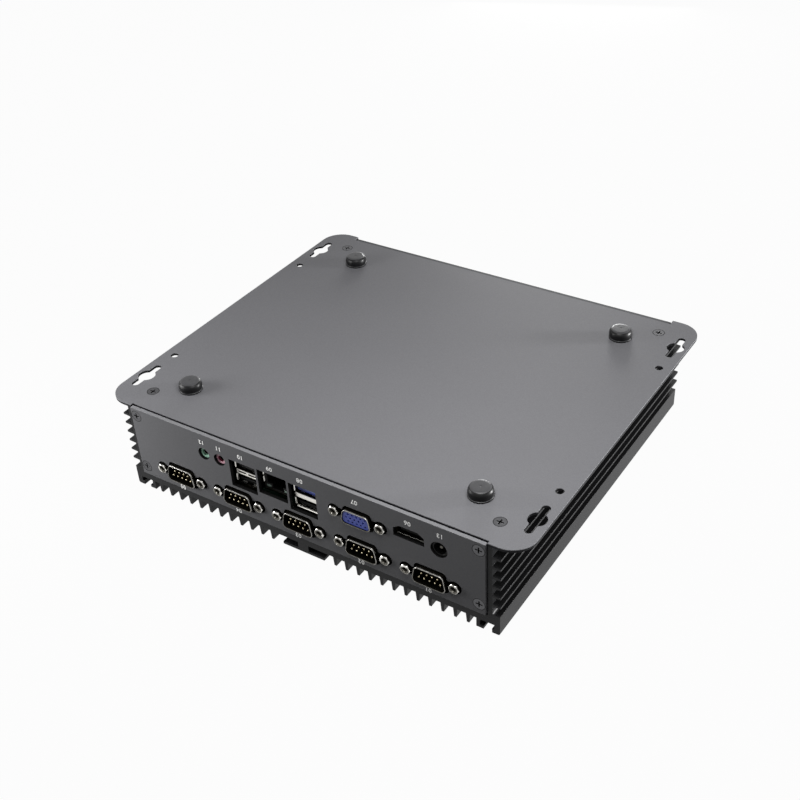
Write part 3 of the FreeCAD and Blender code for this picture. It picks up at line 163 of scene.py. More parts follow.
def anodised_extrusion():
    """Black anodised aluminium with the faint lines that the die draws along the case."""
    material, tree, shader = new_finish("anodised_extrusion", 0.38, specular=0.12)
    lines = noise(tree, 0.0006, stretch=(1, 60, 1))
    blasting = noise(tree, 0.00025, detail=2.0)
    shade = ramp(tree, lines, 0.0, 1.0)
    black = tone(25, 25, 26)
    tree.links.new(blend_colours(tree, shade, black, darkened(black, 0.75)), shader.inputs["Base Color"])
    tree.links.new(ramp(tree, blasting, 0.34, 0.48), shader.inputs["Roughness"])
    roughen(tree, shader, lines, 0.00002)
    return material


def bright_plate(name, colour, roughness, brushed=(1, 1, 1)):
    """Plated sheet or turned metal, with faint handling marks."""
    material, tree, shader = new_finish(name, roughness, metallic=1.0)
    marks = noise(tree, 0.0012, stretch=brushed)
    shade = ramp(tree, marks, 0.0, 1.0)
    tree.links.new(blend_colours(tree, shade, colour, darkened(colour, 0.9)), shader.inputs["Base Color"])
    tree.links.new(ramp(tree, marks, roughness - 0.04, roughness + 0.05), shader.inputs["Roughness"])
    return material


def moulded_plastic(name, colour, roughness=0.38, gloss=0.35):
    """Moulded plastic with a fine spark-eroded texture."""
    material, tree, shader = new_finish(name, roughness, specular=gloss)
    skin = noise(tree, 0.0003, detail=2.0)
    shade = ramp(tree, noise(tree, 0.004), 0.0, 1.0)
    tree.links.new(blend_colours(tree, shade, colour, darkened(colour, 0.85)), shader.inputs["Base Color"])
    tree.links.new(ramp(tree, skin, roughness - 0.05, roughness + 0.08), shader.inputs["Roughness"])
    roughen(tree, shader, skin, 0.000015)
    return material


def foot_rubber(name, dark, bloomed, gloss):
    """Black rubber with a slight bloom."""
    material, tree, shader = new_finish(name, 0.4, specular=gloss)
    bloom = ramp(tree, noise(tree, 0.0025), 0.0, 1.0)
    skin = noise(tree, 0.0002, detail=2.0)
    tree.links.new(blend_colours(tree, bloom, dark, bloomed), shader.inputs["Base Color"])
    tree.links.new(ramp(tree, skin, 0.33, 0.46), shader.inputs["Roughness"])
    roughen(tree, shader, skin, 0.00001)
    return material


def solder_resist():
    """Dark green circuit board with copper areas under its resist."""
    material, tree, shader = new_finish("solder_resist", 0.35, specular=0.3)
    coordinates = tree.nodes.new("ShaderNodeTexCoord")
    pour = tree.nodes.new("ShaderNodeTexBrick")
    pour.inputs["Scale"].default_value = 90.0
    pour.inputs["Mortar Size"].default_value = 0.06
    pour.inputs["Color1"].default_value = tone(8, 26, 17)
    pour.inputs["Color2"].default_value = tone(9, 30, 19)
    pour.inputs["Mortar"].default_value = tone(6, 20, 13)
    tree.links.new(coordinates.outputs["Object"], pour.inputs["Vector"])
    shade = ramp(tree, noise(tree, 0.006), 0.0, 1.0)
    mixed = blend_colours(tree, shade, pour.outputs["Color"], tone(7, 24, 15))
    tree.links.new(mixed, shader.inputs["Base Color"])
    return material


def printed_white():
    """White screen print."""
    material, tree, shader = new_finish("printed_white", 0.5, specular=0.3)
    shade = ramp(tree, noise(tree, 0.0006), 0.0, 1.0)
    white = blend_colours(tree, shade, tone(240, 240, 238), tone(222, 222, 220))
    tree.links.new(white, shader.inputs["Base Color"])
    return material


FINISHES = {
    "housing": anodised_extrusion(),
    # The plate and the panel share one dark coat: both tones are set lighter than it for its sheen, and the
    # upturned plate lighter than the panel, as painted light.
    "plate": powder_coat("plate_coat", tone(114, 114, 117), 0.1),
    "panel": powder_coat("panel_coat", tone(90, 90, 92), 0.05),
    "rubber": foot_rubber("foot_rubber", tone(8, 8, 9), tone(12, 12, 13), 0.18),
    "black_screw": bright_plate("blackened_steel", tone(84, 84, 86), 0.45),
    "tin_plate": bright_plate("tin_plate", tone(222, 220, 214), 0.3),
    "nickel": bright_plate("nickel_plate", tone(226, 224, 218), 0.28),
    "black_plastic": moulded_plastic("black_plastic", tone(12, 12, 12), gloss=0.1),
    "blue_plastic": moulded_plastic("blue_plastic", tone(50, 64, 142)),
    "green_plastic": moulded_plastic("pale_green_plastic", tone(140, 178, 158), 0.3),
    "maroon_plastic": moulded_plastic("maroon_plastic", tone(152, 62, 92), 0.3),
    "gold_contact": bright_plate("gold_plate", tone(184, 174, 146), 0.32),
    "switch_metal": bright_plate("turned_steel", tone(190, 190, 190), 0.28),
    "lamp": moulded_plastic("lamp_lens", tone(116, 132, 122), 0.2),
    "circuit_board": solder_resist(),
    "brass_fitting": bright_plate("brass", tone(204, 172, 110), 0.3),
    "steel_screw": bright_plate("zinc_plate", tone(190, 190, 194), 0.35),
    "chip": moulded_plastic("chip_package", tone(44, 44, 46)),
    "pad": moulded_plastic("silicone_pad", tone(150, 154, 160), 0.6),
    "bare_aluminium": bright_plate("milled_aluminium", tone(200, 200, 202), 0.3, brushed=(1, 30, 1)),
}

# Second finishes, for parts of a piece: painted light or shade, all but the print
# Painted light: a lighter rubber for the tops of the feet
LIT_TOP_RUBBER = foot_rubber("worn_rubber", tone(46, 46, 48), tone(54, 54, 56), 0.4)
# Painted shade: a dark metal for walls inside mouths and behind the panel, bores, threads and pins
DEEP_SHADE_METAL = bright_plate("tarnished_tin", tone(30, 28, 24), 0.45)
# Painted light: a paler coat for the rear panel's top edge
LIT_PANEL_EDGE = powder_coat("panel_edge_coat", tone(132, 132, 135), 0.12)
# Painted shade: a dark coat for the plate's edges below a band at the top
SHADED_PLATE_EDGE = powder_coat("plate_edge_coat", tone(34, 34, 36), 0.05)
# Painted shade, lighter: a dimmed metal for rim fronts, countersunk mouths and the inlet pin
HALF_SHADE_METAL = bright_plate("oiled_thread", tone(92, 90, 84), 0.4)
# Painted shade: a darker gold for pin shafts behind their tips
SHADED_PIN_SHAFT = bright_plate("dull_gold", tone(74, 62, 38), 0.45)
# Painted shade: a black for recesses, the gaps round screw heads and the walls of the panel's windows
PAINTED_SHADE_BLACK = moulded_plastic("soot_black", tone(10, 10, 10), 0.6, 0.1)
# Painted highlight: a paler blue for the upper front rounding of blue tongues
LIT_EDGE_BLUE = moulded_plastic("pale_blue_plastic", tone(96, 112, 178), 0.3)
# Painted light: a paler pink for the front rim of the microphone socket
LIT_PINK_RIM = moulded_plastic("pale_pink_plastic", tone(194, 150, 162), 0.3)
PRINT = printed_white()


def dress(piece, material):
    """Gives a piece one material all over."""
    piece.data.materials.clear()
    piece.data.materials.append(material)


for name, node in nodes.items():
    dress(node, FINISHES[SLOT_OF[name]])


# Work on meshes

def only(piece):
    """Makes a piece the only selected and active one."""
    bpy.ops.object.select_all(action="DESELECT")
    piece.select_set(True)
    bpy.context.view_layer.objects.active = piece


def settle(piece):
    """Brings a finished piece's object to the origin, with its place in its mesh."""
    only(piece)
    bpy.ops.object.transform_apply(location=True, rotation=True, scale=True)


def put(piece, place, turn=(0, 0, 0)):
    """Turns a piece, in degrees, and moves it to its place."""
    piece.rotation_euler = [math.radians(angle) for angle in turn]
    piece.location = place
    settle(piece)
    return piece


def edit_all(piece):
    """Enters edit mode with all of a piece selected."""
    only(piece)
    bpy.ops.object.mode_set(mode="EDIT")
    bpy.ops.mesh.select_all(action="SELECT")


def leave_edit():
    """Goes back to object mode."""
    bpy.ops.object.mode_set(mode="OBJECT")


def apply_last(piece):
    """Applies a piece's newest modifier."""
    only(piece)
    bpy.ops.object.modifier_apply(modifier=piece.modifiers[-1].name)


def round_edges(piece, width, segments=2, angle=35):
    """Rounds the sharp edges of a piece."""
    bevel = piece.modifiers.new("rounding", "BEVEL")
    bevel.width = width
    bevel.segments = segments
    bevel.limit_method = "ANGLE"
    bevel.angle_limit = math.radians(angle)
    apply_last(piece)


def smooth(piece, angle=35):
    """Smooth shading across edges below an angle, with the flats kept flat."""
    only(piece)
    bpy.ops.object.shade_smooth_by_angle(angle=math.radians(angle))
    flats = piece.modifiers.new("flats", "WEIGHTED_NORMAL")
    flats.mode = "FACE_AREA"
    flats.weight = 100
    flats.keep_sharp = True
    apply_last(piece)


def seat(piece, node):
    """Lets a finished piece ride with the node that it stands for or belongs to."""
    settle(piece)
    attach(piece, BODY_OF[node])
    return piece


def stand_in(piece, node):
    """A finished new piece, in its node's finish, takes its node's place."""
    dress(piece, FINISHES[SLOT_OF[node]])
    seat(piece, node)
    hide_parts(node)
    return piece


def eased_copy(node, width, segments=2, angle=35, seam=None):
    """A CAD piece with the small roundings of its real edges, in place of the sharp one.

    A seam is an axis and a level on it where the piece's faces are parted, for a change of finish.
    """
    piece = bpy.data.objects.new(node + "_eased", nodes[node].data.copy())
    bpy.context.scene.collection.objects.link(piece)
    edit_all(piece)
    bpy.ops.mesh.remove_doubles(threshold=TOUCH)
    bpy.ops.mesh.dissolve_limited(angle_limit=math.radians(0.5))
    if seam:
        axis, level = seam
        across = Vector((0, 0, 0))
        across[axis] = 1
        bpy.ops.mesh.bisect(plane_co=across * level, plane_no=across)
    leave_edit()
    round_edges(piece, width, segments, angle)
    smooth(piece)
    return stand_in(piece, node)


def part_finish(piece, material, belongs):
    """Gives a second finish to the faces of a piece that belong to it."""
    piece.data.materials.append(material)
    slot = len(piece.data.materials) - 1
    for face in piece.data.polygons:
        if belongs(face):
            face.material_index = slot


def copies(piece, shifts, name):
    """One piece made of copies of another, each moved by a shift, the pattern itself not kept."""
    made = []
    for shift in shifts:
        copy = bpy.data.objects.new(name, piece.data.copy())
        copy.data.transform(Matrix.Translation(shift))
        bpy.context.scene.collection.objects.link(copy)
        made.append(copy)
    bpy.data.objects.remove(piece)
    return gathered(made, name)


def gathered(pieces, name):
    """Several pieces as one."""
    bpy.ops.object.select_all(action="DESELECT")
    for piece in pieces:
        piece.select_set(True)
    bpy.context.view_layer.objects.active = pieces[0]
    if len(pieces) > 1:
        bpy.ops.object.join()
    pieces[0].name = name
    return pieces[0]


def start_box(name, low, high):
    """A box between two corners, to be shaped further."""
    bpy.ops.object.select_all(action="DESELECT")
    middle = [(a + b) / 2 for a, b in zip(low, high)]
    bpy.ops.mesh.primitive_cube_add(size=1.0, location=middle)
    piece = bpy.context.object
    piece.name = name
    piece.scale = [b - a for a, b in zip(low, high)]
    settle(piece)
    return piece


def turned(name, profile, sides=32):
    """A turned piece on its upright axis, from radius and level pairs in millimetres, closed at both ends."""
    bpy.ops.object.select_all(action="DESELECT")
    first_radius, first_level = profile[0]
    bpy.ops.mesh.primitive_circle_add(
        vertices=sides, radius=first_radius * MM, fill_type="NGON", location=(0, 0, first_level * MM)
    )
    piece = bpy.context.object
    piece.name = name
    settle(piece)
    edit_all(piece)
    for (radius, level), (next_radius, next_level) in zip(profile, profile[1:]):
        rise = (next_level - level) * MM
        bpy.ops.mesh.extrude_region_move(TRANSFORM_OT_translate={"value": (0, 0, rise)})
        factor = next_radius / radius
        bpy.ops.transform.resize(value=(factor, factor, 1), center_override=(0, 0, next_level * MM))
    bpy.ops.mesh.select_all(action="SELECT")
    bpy.ops.mesh.normals_make_consistent(inside=False)
    leave_edit()
    return piece


def bent_strip(name, path, width, thickness):
    """A strip of sheet metal along a path of y and z in millimetres, its width along x."""
    bpy.ops.object.select_all(action="DESELECT")
    bpy.ops.mesh.primitive_plane_add(size=1.0)
    piece = bpy.context.object
    piece.name = name
    piece.scale = (width * MM, 1, 1)
    settle(piece)
    only(piece)
    bpy.ops.object.mode_set(mode="EDIT")
    bpy.ops.mesh.select_mode(type="EDGE")
    for side, (y, z) in ((-0.5, path[0]), (0.5, path[1])):
        bpy.ops.mesh.select_all(action="DESELECT")
        mesh = bmesh.from_edit_mesh(piece.data)
        for edge in mesh.edges:
            edge.select = all(abs(corner.co.y - side) < TOUCH for corner in edge.verts)
        bmesh.update_edit_mesh(piece.data)
        bpy.ops.transform.translate(value=(0, y * MM - side, z * MM))
    for (y, z), (next_y, next_z) in zip(path[1:], path[2:]):
        step = (0, (next_y - y) * MM, (next_z - z) * MM)
        bpy.ops.mesh.extrude_region_move(TRANSFORM_OT_translate={"value": step})
    leave_edit()
    sheet = piece.modifiers.new("sheet", "SOLIDIFY")
    sheet.thickness = thickness * MM
    sheet.offset = 0
    apply_last(piece)
    edit_all(piece)
    bpy.ops.mesh.normals_make_consistent(inside=False)
    leave_edit()
    return piece


def carve(piece, cutter):
    """Takes the shape of another piece out of a piece."""
    hollow = piece.modifiers.new("hollow", "BOOLEAN")
    hollow.operation = "DIFFERENCE"
    hollow.solver = "EXACT"
    hollow.object = cutter
    apply_last(piece)
    bpy.data.objects.remove(cutter)


# The case

HOUSING_EASE = 0.22
SHEET_EASE = 0.12
FRONT_EASE = 0.15
# The band at the top of the plate's edges that keeps the plate's coat; below it the edges have painted shade
UNSHADED_EDGE = 0.36
# The band at the top of the rear panel within which its upward faces take painted light
EDGE_STRIP = 0.8
PANEL_MARGIN = 1.5


def window_wall(face):
    """Whether a face of the rear panel lies in the thickness of one of its windows."""
    margin = PANEL_MARGIN * MM
    across = REAR_LOW.x + margin < face.center.x < REAR_HIGH.x - margin
    upright = REAR_LOW.z + margin < face.center.z < REAR_HIGH.z - margin
    return across and upright and abs(face.normal.y) < 0.5


def case():
    """The housing, and the sheet metal with painted shade on the plate's lower edges and the walls of the
    panel's windows, and painted light on the panel's top edge.
    """
    eased_copy("heatsink_body", HOUSING_EASE * MM)
    shade = PLATE_FACE - UNSHADED_EDGE * MM
    plate = eased_copy("base_plate", SHEET_EASE * MM, seam=(2, shade))
    # Painted shade on the plate's edges below the band
    part_finish(plate, SHADED_PLATE_EDGE, lambda face: abs(face.normal.z) < 0.5 and face.center.z < shade)
    rear = eased_copy("rear_panel", SHEET_EASE * MM)
    strip = REAR_HIGH.z - EDGE_STRIP * MM
    # Painted light on the rear panel's top edge
    part_finish(rear, LIT_PANEL_EDGE, lambda face: face.normal.z > 0.6 and face.center.z > strip)
    # Painted shade on the walls of the panel's windows
    part_finish(rear, PAINTED_SHADE_BLACK, window_wall)
    eased_copy("front_panel", FRONT_EASE * MM)


case()


# Countersunk screws, each set with one at every corner

HEAD_RADIUS = 2.95
HEAD_EASE = 0.08
RECESS_FROM = 0.09
GAP_RADIUS = 3.03
GAP_HALF_WIDTH = 0.15
GAP_FLATNESS = 0.2


def flat_ring():
    """A low ring round the origin, as wide as the gap round a countersunk head."""
    bpy.ops.object.select_all(action="DESELECT")
    bpy.ops.mesh.primitive_torus_add(
        major_radius=GAP_RADIUS * MM, minor_radius=GAP_HALF_WIDTH * MM, major_segments=48, minor_segments=8
    )
    ring = bpy.context.object
    edit_all(ring)
    bpy.ops.transform.resize(value=(1, 1, GAP_FLATNESS), center_override=(0, 0, 0))
    leave_edit()
    return ring


def screw_gaps(node, owner, axis, surface):
    """Dark rings of painted shade in the gaps round the heads of a set of screws, level with the sheet that
    the screws hold.
    """
    low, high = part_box(node)
    ring = flat_ring()
    if axis == 1:
        put(ring, (0, 0, 0), TO_REAR)
    across = 3 - axis
    inset = HEAD_RADIUS * MM
    places = []
    for x in (low.x + inset, high.x - inset):
        for level in (low[across] + inset, high[across] - inset):
            place = Vector((x, level, level))
            place[axis] = surface
            places.append(place)
    rings = copies(ring, places, node + "_gaps")
    # Painted shade in the gaps
    dress(rings, PAINTED_SHADE_BLACK)
    seat(rings, owner)


def screw_set(node, owner, axis, sign):
    """A set of screws with painted shade in their recesses, facing along an axis or against it."""
    screws = eased_copy(node, HEAD_EASE * MM)
    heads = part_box(node)[1 if sign > 0 else 0][axis]
    # Painted shade in the recesses
    part_finish(screws, PAINTED_SHADE_BLACK, lambda face: sign * (heads - face.center[axis]) > RECESS_FROM * MM)
    screw_gaps(node, owner, axis, heads)


screw_set("base_plate_screws", "base_plate", 2, 1)
screw_set("rear_panel_screws", "rear_panel", 1, -1)
screw_set("front_panel_screws", "front_panel", 1, 1)


# Rubber feet, each with a thin flange, a bulging side, a round shoulder and a small sprue mark

FOOT_OUTLINE = [
    (5.95, 0.0), (6.0, 0.15), (6.0, 0.65), (5.9, 0.8), (5.72, 0.9), (5.78, 1.2), (5.85, 2.0), (5.82, 3.0),
    (5.7, 3.7), (5.5, 4.2), (5.2, 4.65), (4.85, 4.97), (4.45, 5.17), (4.0, 5.27), (3.4, 5.3), (0.7, 5.3),
    (0.55, 5.2), (0.2, 5.2),
]


def rubber_feet():
    """Four moulded feet, their tops lighter with painted light."""
    for number in range(1, 5):
        node = "rubber_foot_%d" % number
        low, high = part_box(node)
        foot = turned(node + "_moulded", FOOT_OUTLINE, sides=64)
        put(foot, ((low.x + high.x) / 2, (low.y + high.y) / 2, low.z))
        smooth(foot, ROUND_ANGLE)
        stand_in(foot, node)
        # Painted light on the tops
        part_finish(foot, LIT_TOP_RUBBER, lambda face: face.normal.z > 0.8)


rubber_feet()


# Serial ports and the analogue video port

DSUB_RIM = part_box("com_shell_1")[0].y
SCREW_HALF_PITCH = 12.495
SHELL_EASE = 0.26
BRIGHT_RIM = 0.6
PIN_PITCH = 2.77
PIN_ROW = 1.42
PIN_TIP = 0.32
PIN_OUTLINE = [(0.44, 0.0), (0.44, 7.3), (0.41, 7.5), (0.34, 7.66), (0.22, 7.76), (0.08, 7.8)]
INSERT_EASE = 0.1


def middle_of(node):
    """The middle of a node's box."""
    low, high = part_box(node)
    return (low + high) / 2


def drawn_shell(node):
    """A drawn metal shell: bright round its mouth, with painted shade on the front flat of its rim and deeper
    painted shade inside and behind the panel.
    """
    rim_end = DSUB_RIM + BRIGHT_RIM * MM
    shell = eased_copy(node, SHELL_EASE * MM, segments=3, seam=(1, rim_end))
    middle = middle_of(node)

    def outward(face):
        away = (face.center - middle) * Vector((1, 0, 1))
        return face.normal.dot(away.normalized())

    # Painted shade on the faces that don't face outward, kept lighter on the front flat of the rim
    part_finish(shell, HALF_SHADE_METAL, lambda face: outward(face) < 0.2)
    # Deeper painted shade inside the mouth and behind the rim
    part_finish(shell, DEEP_SHADE_METAL, lambda face: face.center.y > rim_end or outward(face) < -0.15)
    return shell


def pin_field():
    """The nine pins of the first serial port, their rounded tips bright and their shafts darkened with
    painted shade.
    """
    node = "com_pins_1"
    centre = middle_of(node)
    tip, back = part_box(node)[0].y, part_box(node)[1].y
    pin = put(turned("pin", PIN_OUTLINE, sides=16), (centre.x, back, centre.z), TO_REAR)
    shifts = [(PIN_PITCH * step * MM, 0, -PIN_ROW * MM) for step in range(-2, 3)]
    shifts += [(PIN_PITCH * step * MM, 0, PIN_ROW * MM) for step in (-1.5, -0.5, 0.5, 1.5)]
    field = copies(pin, shifts, node + "_turned")
    smooth(field, ROUND_ANGLE)
    stand_in(field, node)
    # Painted shade on the shafts behind the tips
    part_finish(field, SHADED_PIN_SHAFT, lambda face: face.center.y > tip + PIN_TIP * MM)
    return field


def serial_ports():
    """Five serial ports, the first one's shell, insulator and pins copied to the others."""
    patterns = [
        ("com_shell", drawn_shell("com_shell_1")),
        ("com_insert", eased_copy("com_insert_1", INSERT_EASE * MM)),
        ("com_pins", pin_field()),
    ]
    for number in range(2, 6):
        shift = middle_of("com_shell_%d" % number) - middle_of("com_shell_1")
        for family, pattern in patterns:
            node = "%s_%d" % (family, number)
            piece = bpy.data.objects.new(pattern.name.replace("_1", "_%d" % number), pattern.data.copy())
            piece.data.transform(Matrix.Translation(shift))
            bpy.context.scene.collection.objects.link(piece)
            seat(piece, node)
            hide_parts(node)


serial_ports()


HOLE_PITCH = 2.29
HOLE_ROW = 1.98
HOLE_STAGGER = 0.5725
VGA_INSERT_EASE = 0.08
VGA_INSERT_SETBACK = 0.4
SLEEVE_OUTLINE = [(0.46, -5.0), (0.46, -1.75), (0.4, -1.7), (0.3, -1.75), (0.3, -4.0)]


def vga_port():
    """The fifteen-hole port: its shell, blue insulator and a gold sleeve in each hole."""
    drawn_shell("vga_shell")
    eased_copy("vga_insert", VGA_INSERT_EASE * MM)
    centre = middle_of("vga_shell")
    front = DSUB_RIM + VGA_INSERT_SETBACK * MM
    sleeve = put(turned("sleeve", SLEEVE_OUTLINE, sides=12), (centre.x, front, centre.z), TO_REAR)
    shifts = []
    for row in (-1, 0, 1):
        stagger = -HOLE_STAGGER if row == 0 else HOLE_STAGGER
        shifts += [((HOLE_PITCH * step + stagger) * MM, 0, HOLE_ROW * row * MM) for step in range(-2, 3)]
    sleeves = copies(sleeve, shifts, "vga_contact_sleeves")
    smooth(sleeves, ROUND_ANGLE)
    dress(sleeves, FINISHES["gold_contact"])
    seat(sleeves, "vga_insert")


vga_port()


# Hexagonal standoffs at the ports, their bores threaded

BAR_EASE = 0.14
BAR_SEAM = 0.7
COUNTERSINK = [(1.2, -0.5), (1.6, -0.05), (1.6, 0.3)]
COUNTERSINK_RADIUS = 1.58
BRIGHT_END = 0.62
THREAD_START = -0.75
THREAD_STOP = -4.2
THREAD_PITCH = 0.635
THREAD_CREST = 1.0
THREAD_ROOT = 1.23


def thread_outline():
    """The rings of a screw thread inside a bore, from its foot up the outside and down the inside."""
    outline = [(1.28, -4.7), (1.28, THREAD_START), (1.22, THREAD_START)]
    level = THREAD_START - 0.1
    while level > THREAD_STOP:
        outline += [(THREAD_CREST, level - 0.2), (THREAD_CREST, level - 0.3)]
        outline += [(THREAD_ROOT, level - 0.5), (THREAD_ROOT, level - 0.6)]
        level -= THREAD_PITCH
    return outline


def jackscrews():
    """The twelve standoffs, each with a countersunk mouth and a thread cut in it, with painted shade in the
    mouths, deeper painted shade behind the bright front ends, and on the threads.
    """
    node = "jackscrews"
    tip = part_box(node)[0].y
    ports = [middle_of("com_shell_%d" % number) for number in range(1, 6)] + [middle_of("vga_shell")]
    axes = [Vector((port.x + side * SCREW_HALF_PITCH * MM, 0, port.z)) for port in ports for side in (-1, 1)]
    bars = eased_copy(node, BAR_EASE * MM, segments=3, seam=(1, tip + BAR_SEAM * MM))
    cone = put(turned("countersink", COUNTERSINK, sides=32), (0, tip, 0), TO_REAR)
    carve(bars, copies(cone, axes, "countersinks"))
    smooth(bars, 30)
    bright_end = tip + BRIGHT_END * MM

    def off_axis(face):
        return min(math.hypot(face.center.x - axis.x, face.center.z - axis.z) for axis in axes)

    # Painted shade in the countersunk mouths
    part_finish(
        bars, HALF_SHADE_METAL,
        lambda face: off_axis(face) < COUNTERSINK_RADIUS * MM and face.center.y < bright_end,
    )
    # Deeper painted shade behind the bright front ends
    part_finish(bars, DEEP_SHADE_METAL, lambda face: face.center.y > bright_end)
    thread = put(turned("thread", thread_outline(), sides=24), (0, tip, 0), TO_REAR)
    threads = copies(thread, axes, "jackscrew_threads")
    smooth(threads, ROUND_ANGLE)
    # The threads in painted shade
    dress(threads, DEEP_SHADE_METAL)
    seat(threads, node)


jackscrews()


# Double sockets for universal serial bus. Depths count from the front, levels from the middle of a mouth.

MOUTH_WIDTH = 12.9
MOUTH_HEIGHT = 5.4
MOUTH_HALF_PITCH = 4.0
MOUTH_DROP = 0.9
MOUTH_DEPTH = 15.0
BOX_EASE = 0.1

LIP_PATH = [(0.5, -0.05), (0.0, 0.0), (-0.25, 0.12), (-0.42, 0.34)]
LIP_SHEET = 0.25
SIDE_LIP_WIDTH = 4.0
LONG_LIP_WIDTH = 12.2
PARTED_LIP_PATH = [(1.2, 0.0), (0.5, 0.1), (0.2, 0.06)]
PARTED_LIP_SHEET = 0.15
PARTED_LIP_WIDTH = 3.2
PARTED_LIP_SHIFT = 3.4

SPRING_PATH = [(1.2, 0.0), (2.2, -0.3), (3.2, -0.62), (4.0, -0.7), (5.0, -0.5), (6.5, -0.2), (8.0, 0.0)]
SPRING_SHEET = 0.2
SPRING_WIDTH = 2.4
SPRING_SHIFT = 3.3

BRIDGE_HALF_HEIGHT = 1.2
BRIDGE_PROUD = 0.4
BRIDGE_SUNK = 0.05
BRIDGE_EASE = 0.12
SLOT_SHIFT = 3.1
SLOT_HALF_WIDTH = 2.5
SLOT_HALF_HEIGHT = 0.55

TONGUE_DROP = 1.15
TONGUE_HALF_WIDTH = 5.8
TONGUE_HALF_HEIGHT = 0.95
TONGUE_DEPTHS = (0.9, 16.0)
TONGUE_EASE = 0.5
BACK_HALF_WIDTH = 6.4
BACK_HALF_HEIGHT = 2.65
BACK_DEPTHS = (15.0, 17.0)
CONTACT_SHIFTS = (-3.5, -1.0, 1.0, 3.5)
CONTACT_DEPTHS = (1.9, 9.0)
CONTACT_LEVELS = (0.9, 1.05)
CONTACT_HALF_WIDTH = 0.5
CONTACT_EASE = 0.05

TOP, RIGHT, BOTTOM, LEFT = 0, 90, 180, 270


def along(path, inward):
    """A path of depth and height, mirrored for a socket that faces the front."""
    return [(inward * depth, height) for depth, height in path]


def reach(front, inward, depths):
    """The lower and the higher place of two depths behind a socket's front."""
    return sorted(front + inward * depth * MM for depth in depths)


def edge_strip(path, width, thickness, wall, place):
    """A bent strip on one wall of a socket's mouth."""
    strip = bent_strip("strip", path, width, thickness)
    return put(strip, place, (0, wall, 0))


def mouth_lips(x, front, level, inward, side, parted):
    """The flared lips of one mouth: one at each end, and a long or a parted one on its outer side."""
    lip = along(LIP_PATH, inward)
    strips = []
    for wall, sign in ((LEFT, -1), (RIGHT, 1)):
        place = (x + sign * MOUTH_WIDTH / 2 * MM, front, level)
        strips.append(edge_strip(lip, SIDE_LIP_WIDTH, LIP_SHEET, wall, place))
    wall = TOP if side > 0 else BOTTOM
    height = level + side * MOUTH_HEIGHT / 2 * MM
    if not parted:
        strips.append(edge_strip(lip, LONG_LIP_WIDTH, LIP_SHEET, wall, (x, front, height)))
        return strips
    short = along(PARTED_LIP_PATH, inward)
    for shift in (-PARTED_LIP_SHIFT, PARTED_LIP_SHIFT):
        place = (x + shift * MM, front, height)
        strips.append(edge_strip(short, PARTED_LIP_WIDTH, PARTED_LIP_SHEET, wall, place))
    return strips


def mouth_springs(x, front, level, inward):
    """The four springs of one mouth, two above the plug and two below."""
    spring = along(SPRING_PATH, inward)
    strips = []
    for wall, sign in ((TOP, 1), (BOTTOM, -1)):
        for shift in (-SPRING_SHIFT, SPRING_SHIFT):
            place = (x + shift * MM, front, level + sign * MOUTH_HEIGHT / 2 * MM)
            strips.append(edge_strip(spring, SPRING_WIDTH, SPRING_SHEET, wall, place))
    return strips


def bridge_between(x, front, z, inward, slotted):
    """The bridge between the two mouths, plain or with two windows."""
    half_width = MOUTH_WIDTH / 2 * MM
    half_height = BRIDGE_HALF_HEIGHT * MM
    near, far = reach(front, inward, (-BRIDGE_PROUD, BRIDGE_SUNK))
    bridge = start_box(
        "bridge", (x - half_width, near, z - half_height), (x + half_width, far, z + half_height)
    )
    if slotted:
        for side in (-1, 1):
            middle = x + side * SLOT_SHIFT * MM
            carve(bridge, start_box(
                "slot", (middle - SLOT_HALF_WIDTH * MM, near - MM, z - SLOT_HALF_HEIGHT * MM),
                (middle + SLOT_HALF_WIDTH * MM, far + MM, z + SLOT_HALF_HEIGHT * MM),
            ))
    round_edges(bridge, BRIDGE_EASE * MM)
    return bridge


def usb_sheet(shell, x, front, z, inward, slotted):
    """What is bent or stamped at a double socket's mouths: lips, springs and the bridge between.

    The bridge of a slotted one has two windows, and the lip of its lower mouth is parted.
    """
    pieces = []
    for side in (-1, 1):
        level = z + side * MOUTH_HALF_PITCH * MM
        pieces += mouth_lips(x, front, level, inward, side, slotted and side < 0)
        pieces += mouth_springs(x, front, level, inward)
    pieces.append(bridge_between(x, front, z, inward, slotted))
    sheet = gathered(pieces, shell + "_sheet")
    smooth(sheet, ROUND_ANGLE)
    dress(sheet, FINISHES["tin_plate"])
    seat(sheet, shell)


def usb_box(shell, middle, front, centre, inward):
    """The folded box of a double socket with its two mouths, dark with painted shade."""
    low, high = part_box(shell)
    box = start_box(shell + "_box", low, high)
    near, far = reach(front, inward, (-1.0, MOUTH_DEPTH))
    half_width = MOUTH_WIDTH / 2 * MM
    half_height = MOUTH_HEIGHT / 2 * MM
    for side in (-1, 1):
        height = centre + side * MOUTH_HALF_PITCH * MM
        carve(box, start_box(
            "mouth", (middle.x - half_width, near, height - half_height),
            (middle.x + half_width, far, height + half_height),
        ))
    round_edges(box, BOX_EASE * MM)
    smooth(box)
    stand_in(box, shell)
    # Painted shade on the box
    dress(box, DEEP_SHADE_METAL)


def usb_contacts(name, node, x, front, height, inward):
    """The four contacts on a tongue."""
    near, far = reach(front, inward, CONTACT_DEPTHS)
    contact = start_box(
        "contact", (x - CONTACT_HALF_WIDTH * MM, near, height + CONTACT_LEVELS[0] * MM),
        (x + CONTACT_HALF_WIDTH * MM, far, height + CONTACT_LEVELS[1] * MM),
    )
    round_edges(contact, CONTACT_EASE * MM)
    contacts = copies(contact, [(shift * MM, 0, 0) for shift in CONTACT_SHIFTS], name + "_contacts")
    smooth(contacts)
    dress(contacts, FINISHES["gold_contact"])
    seat(contacts, node)


